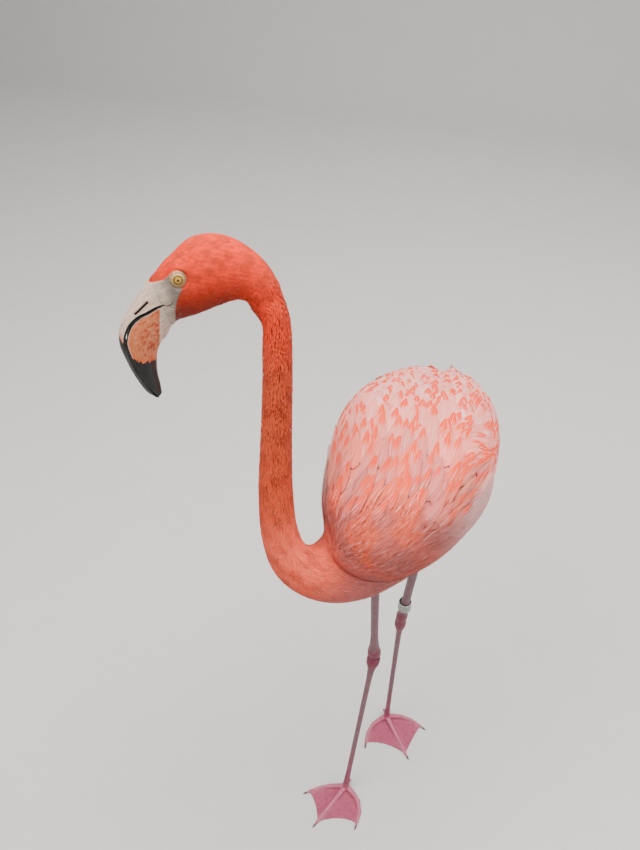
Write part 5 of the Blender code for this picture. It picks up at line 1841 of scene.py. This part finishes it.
# Rows of long wing feathers: how many, share of the way back where they grow, highest and
# lowest angle round the trunk, length, width.
LONG_ROWS = (
    (16, 0.38, 72.0, 2.0, 0.062, 0.020),
    (15, 0.47, 76.0, -2.0, 0.072, 0.026),
    (13, 0.57, 80.0, -6.0, 0.082, 0.034),
    (11, 0.66, 84.0, -2.0, 0.092, 0.042),
    (9, 0.74, 86.0, 10.0, 0.090, 0.044),
)
FLIGHT_FEATHERS = 7


def place_on_trunk(ground, back, degrees, side):
    """Places on the trunk at shares of the way back and angles above its side."""
    line = np.array(BODY_LINE) + ORIGIN_SHIFT
    y = line[0, 1] + (line[-1, 1] - line[0, 1]) * np.asarray(back)
    x = np.interp(y, line[:, 1], line[:, 0])
    z = np.interp(y, line[:, 1], line[:, 2])
    turn = np.radians(degrees)
    out = np.stack((side * np.cos(turn), np.zeros_like(turn), np.sin(turn)), axis=-1)
    places = []
    for start, way in zip(np.stack((x, y, z), axis=-1), out):
        hit = ground.tree.ray_cast(Vector(start + way * 0.25), Vector(-way))
        places.append(hit[0] if hit[0] is not None else start)
    return np.array(places)


def make_long_feathers(ground):
    """Scapulars and tertials that close over the back, and dark flight feathers below them."""
    coat = Coat()
    for side in (1.0, -1.0):
        for count, back, high, low, length, width in LONG_ROWS:
            share = (np.arange(count) + 0.5 + DRAW.uniform(-0.25, 0.25, count)) / count
            degrees = high + (low - high) * share
            where = back + DRAW.uniform(-0.03, 0.03, count) - 0.05 * np.abs(share - 0.4)
            roots = place_on_trunk(ground, where, degrees, side)
            tint = mixed(plumage_tint(roots), PALE_PINK, 0.5)
            tint = mixed(tint, WHITE_PINK, 0.4 * DRAW.random(count)) * jitter(count, 0.04)[:, None]
            strength = (DRAW.random(count) < 0.45) * DRAW.uniform(0.3, 0.8, count)
            coat.add(ground, roots, lay_of_coat, length * jitter(count, 0.10),
                     width * jitter(count, 0.10), tint, with_alpha(SALMON, strength),
                     trunk_spots(roots), outline=lobed, segments=14, columns=9,
                     sink=0.0020, lift=0.0034, sway=0.05, cup=0.10, fray=0.12)
    coat.finish("long_wing_feathers", LONG_FEATHERS, "wing_plumage")
    flight = Coat()
    for side in (1.0, -1.0):
        share = np.arange(FLIGHT_FEATHERS) / (FLIGHT_FEATHERS - 1)
        roots = place_on_trunk(ground, 0.60 + 0.05 * share, 2.0 + 26.0 * share, side)
        tint = np.tile(colour(0.13, 0.09, 0.10), (FLIGHT_FEATHERS, 1))
        flight.add(ground, roots, lay_of_coat, 0.155 + 0.03 * share,
                   np.full(FLIGHT_FEATHERS, 0.018), tint,
                   with_alpha(SALMON, np.zeros(FLIGHT_FEATHERS)), trunk_spots(roots),
                   outline=blade, segments=16, columns=5, sink=0.0010, lift=0.0006, sway=0.02)
    flight.finish("flight_feathers", LONG_FEATHERS, "wing_plumage")


TAIL_FEATHERS = 14
TAIL_AT = 0.78  # share of the way from chest to tail where they grow


def make_tail_feathers(ground):
    """Short blunt tail feathers, mostly under the long wing feathers."""
    coat = Coat()
    for side in (1.0, -1.0):
        share = (np.arange(TAIL_FEATHERS // 2) + 0.3) / (TAIL_FEATHERS // 2)
        for low, reach in ((-8.0, 0.068), (-46.0, 0.060)):
            degrees = 86.0 - 60.0 * share + low
            roots = place_on_trunk(ground, np.full(len(share), TAIL_AT), degrees, side)
            tint = np.tile(mixed(PALE_PINK, SHOULDER, 0.4), (len(share), 1))
            tint = tint * jitter(len(share), 0.05)[:, None]
            coat.add(ground, roots, lay_of_coat, reach * jitter(len(share), 0.05),
                     np.full(len(share), 0.024), tint, with_alpha(SALMON, 0.4 * share),
                     trunk_spots(roots), outline=blade, segments=14, columns=7,
                     sink=0.0010, lift=0.0012, sway=0.03)
    coat.finish("tail_feathers", LONG_FEATHERS, "plumage")


def make_loose_plumes(ground):
    """Fine pale curving filaments that lie loose over the back and shoulders."""
    _, over = trunk_regions(ground.middles)
    coat = Coat()
    roots = ground.scatter(LOOSE_PLUMES, over)
    number = len(roots)
    tint = np.tile(mixed(PALE_PINK, WHITE_PINK, 0.45), (number, 1)) * jitter(number, 0.05)[:, None]
    coat.add(ground, roots, lay_of_coat, 0.026 * jitter(number, 0.3),
             0.00055 * jitter(number, 0.2), tint, with_alpha(SALMON, np.zeros(number)),
             trunk_spots(roots), outline=strand, segments=7, columns=2,
             sink=-0.0016, lift=0.0036, sway=0.22, cup=0.0)
    coat.finish("loose_plumes", FINE_FEATHERS, "wing_plumage")


# -------------------------------------------------------------------------------- stage
CAMERA_PLACE = np.array((0.0947, -0.8246, 1.549)) + ORIGIN_SHIFT
CAMERA_TURN = math.radians(15.0)
CAMERA_DOWN = math.radians(41.7)
CAMERA_LENS = 35.66
FLOOR_COLOUR = colour(0.80, 0.79, 0.77)
SKY_TINT = (0.93, 0.96, 1.0, 1.0)
SKY_STRENGTH = 0.38
LIT_PLACE = (0.05, -0.05, 0.65)  # where all lights point
# Name, place, size, power in watts and tint of each light.
LIGHTS = (
    ("key light", (-0.9, -1.0, 3.0), 1.8, 100.0, (1.0, 0.98, 0.95)),
    ("top light", (0.6, 0.6, 3.2), 2.4, 150.0, (0.98, 0.99, 1.0)),
    ("side light", (2.2, -1.0, 1.2), 1.6, 26.0, (1.0, 0.97, 0.95)),
)


def make_floor():
    """A plain pale floor that curves up into a backdrop far behind."""
    finish, tree, shader = new_finish("floor", 0.9)
    place = place_of(tree)
    tint = blended(tree, grain_of(tree, place, 9.0, 5.0), FLOOR_COLOUR, FLOOR_COLOUR * 0.94)
    connect(tree, tint, shader.inputs["Base Color"])
    sweep = [(-3.0, 0.0), (3.0, 0.0)]
    sweep += [(3.0 + math.sin(a), 1.0 - math.cos(a)) for a in np.linspace(0.1, math.pi / 2, 12)]
    sweep += [(4.0, 4.0)]
    points = np.array([(x, y, z) for y, z in sweep for x in (-6.0, 6.0)])
    mesh = new_mesh("floor", points, grid_faces(len(sweep), 2)[:, ::-1])
    mesh.materials.append(finish)
    floor = bpy.data.objects.new("floor", mesh)
    bpy.context.scene.collection.objects.link(floor)


def add_light(name, place, size, power, tint):
    """A soft square light that faces the bird."""
    light = bpy.data.lights.new(name, "AREA")
    light.size = size
    light.energy = power
    light.color = tint
    made = bpy.data.objects.new(name, light)
    place = Vector(place)
    made.matrix_world = (Matrix.Translation(place)
                         @ (place - Vector(LIT_PLACE)).to_track_quat("Z", "Y")
                         .to_matrix().to_4x4())
    bpy.context.scene.collection.objects.link(made)


def make_stage():
    """Floor, sky, lights and camera."""
    make_floor()
    world = bpy.data.worlds.new("soft sky")
    world.use_nodes = True
    world.node_tree.nodes["Background"].inputs["Color"].default_value = SKY_TINT
    world.node_tree.nodes["Background"].inputs["Strength"].default_value = SKY_STRENGTH
    bpy.context.scene.world = world
    for light in LIGHTS:
        add_light(*light)
    camera = bpy.data.cameras.new("camera")
    camera.lens = CAMERA_LENS
    camera.sensor_width = 36.0
    made = bpy.data.objects.new("camera", camera)
    turn = Matrix.Rotation(CAMERA_TURN, 4, "Z") @ Matrix.Rotation(math.pi / 2 - CAMERA_DOWN, 4, "X")
    made.matrix_world = Matrix.Translation(CAMERA_PLACE) @ turn
    bpy.context.scene.collection.objects.link(made)
    bpy.context.scene.camera = made


def main():
    body_nodes = [name for name in NODES if name.startswith(BODY_PARTS)]
    body = bridged_folds(*merged_surface(body_nodes, BODY_VOXEL, BODY_PASSES))
    at, plain_head = head_surface()
    head = shaped_head(plain_head, at, 0.0006)
    make_skin(body, head)
    make_bill_half("bill_upper", True)
    make_bill_half("bill_lower", False)
    for side, sign in (("left", 1.0), ("right", -1.0)):
        make_eye(side, sign)
        for number in (1, 2, 3):
            make_claw(f"claw_{side}_{number}")
    make_band()
    ground = Ground(*body)
    rows, columns = plain_head.shape[:2]
    feathered = shaped_head(plain_head, at, 0.0)
    head_places = moved(HEAD_MATRIX, feathered.reshape(-1, 3))
    head_ground = Ground(head_places, grid_faces(rows, columns, closed=True))
    make_head_coat(head_ground)
    make_neck_coat(ground)
    make_under_coat(ground)
    make_back_coat(ground)
    make_long_feathers(ground)
    make_tail_feathers(ground)
    make_loose_plumes(ground)
    make_stage()


main()
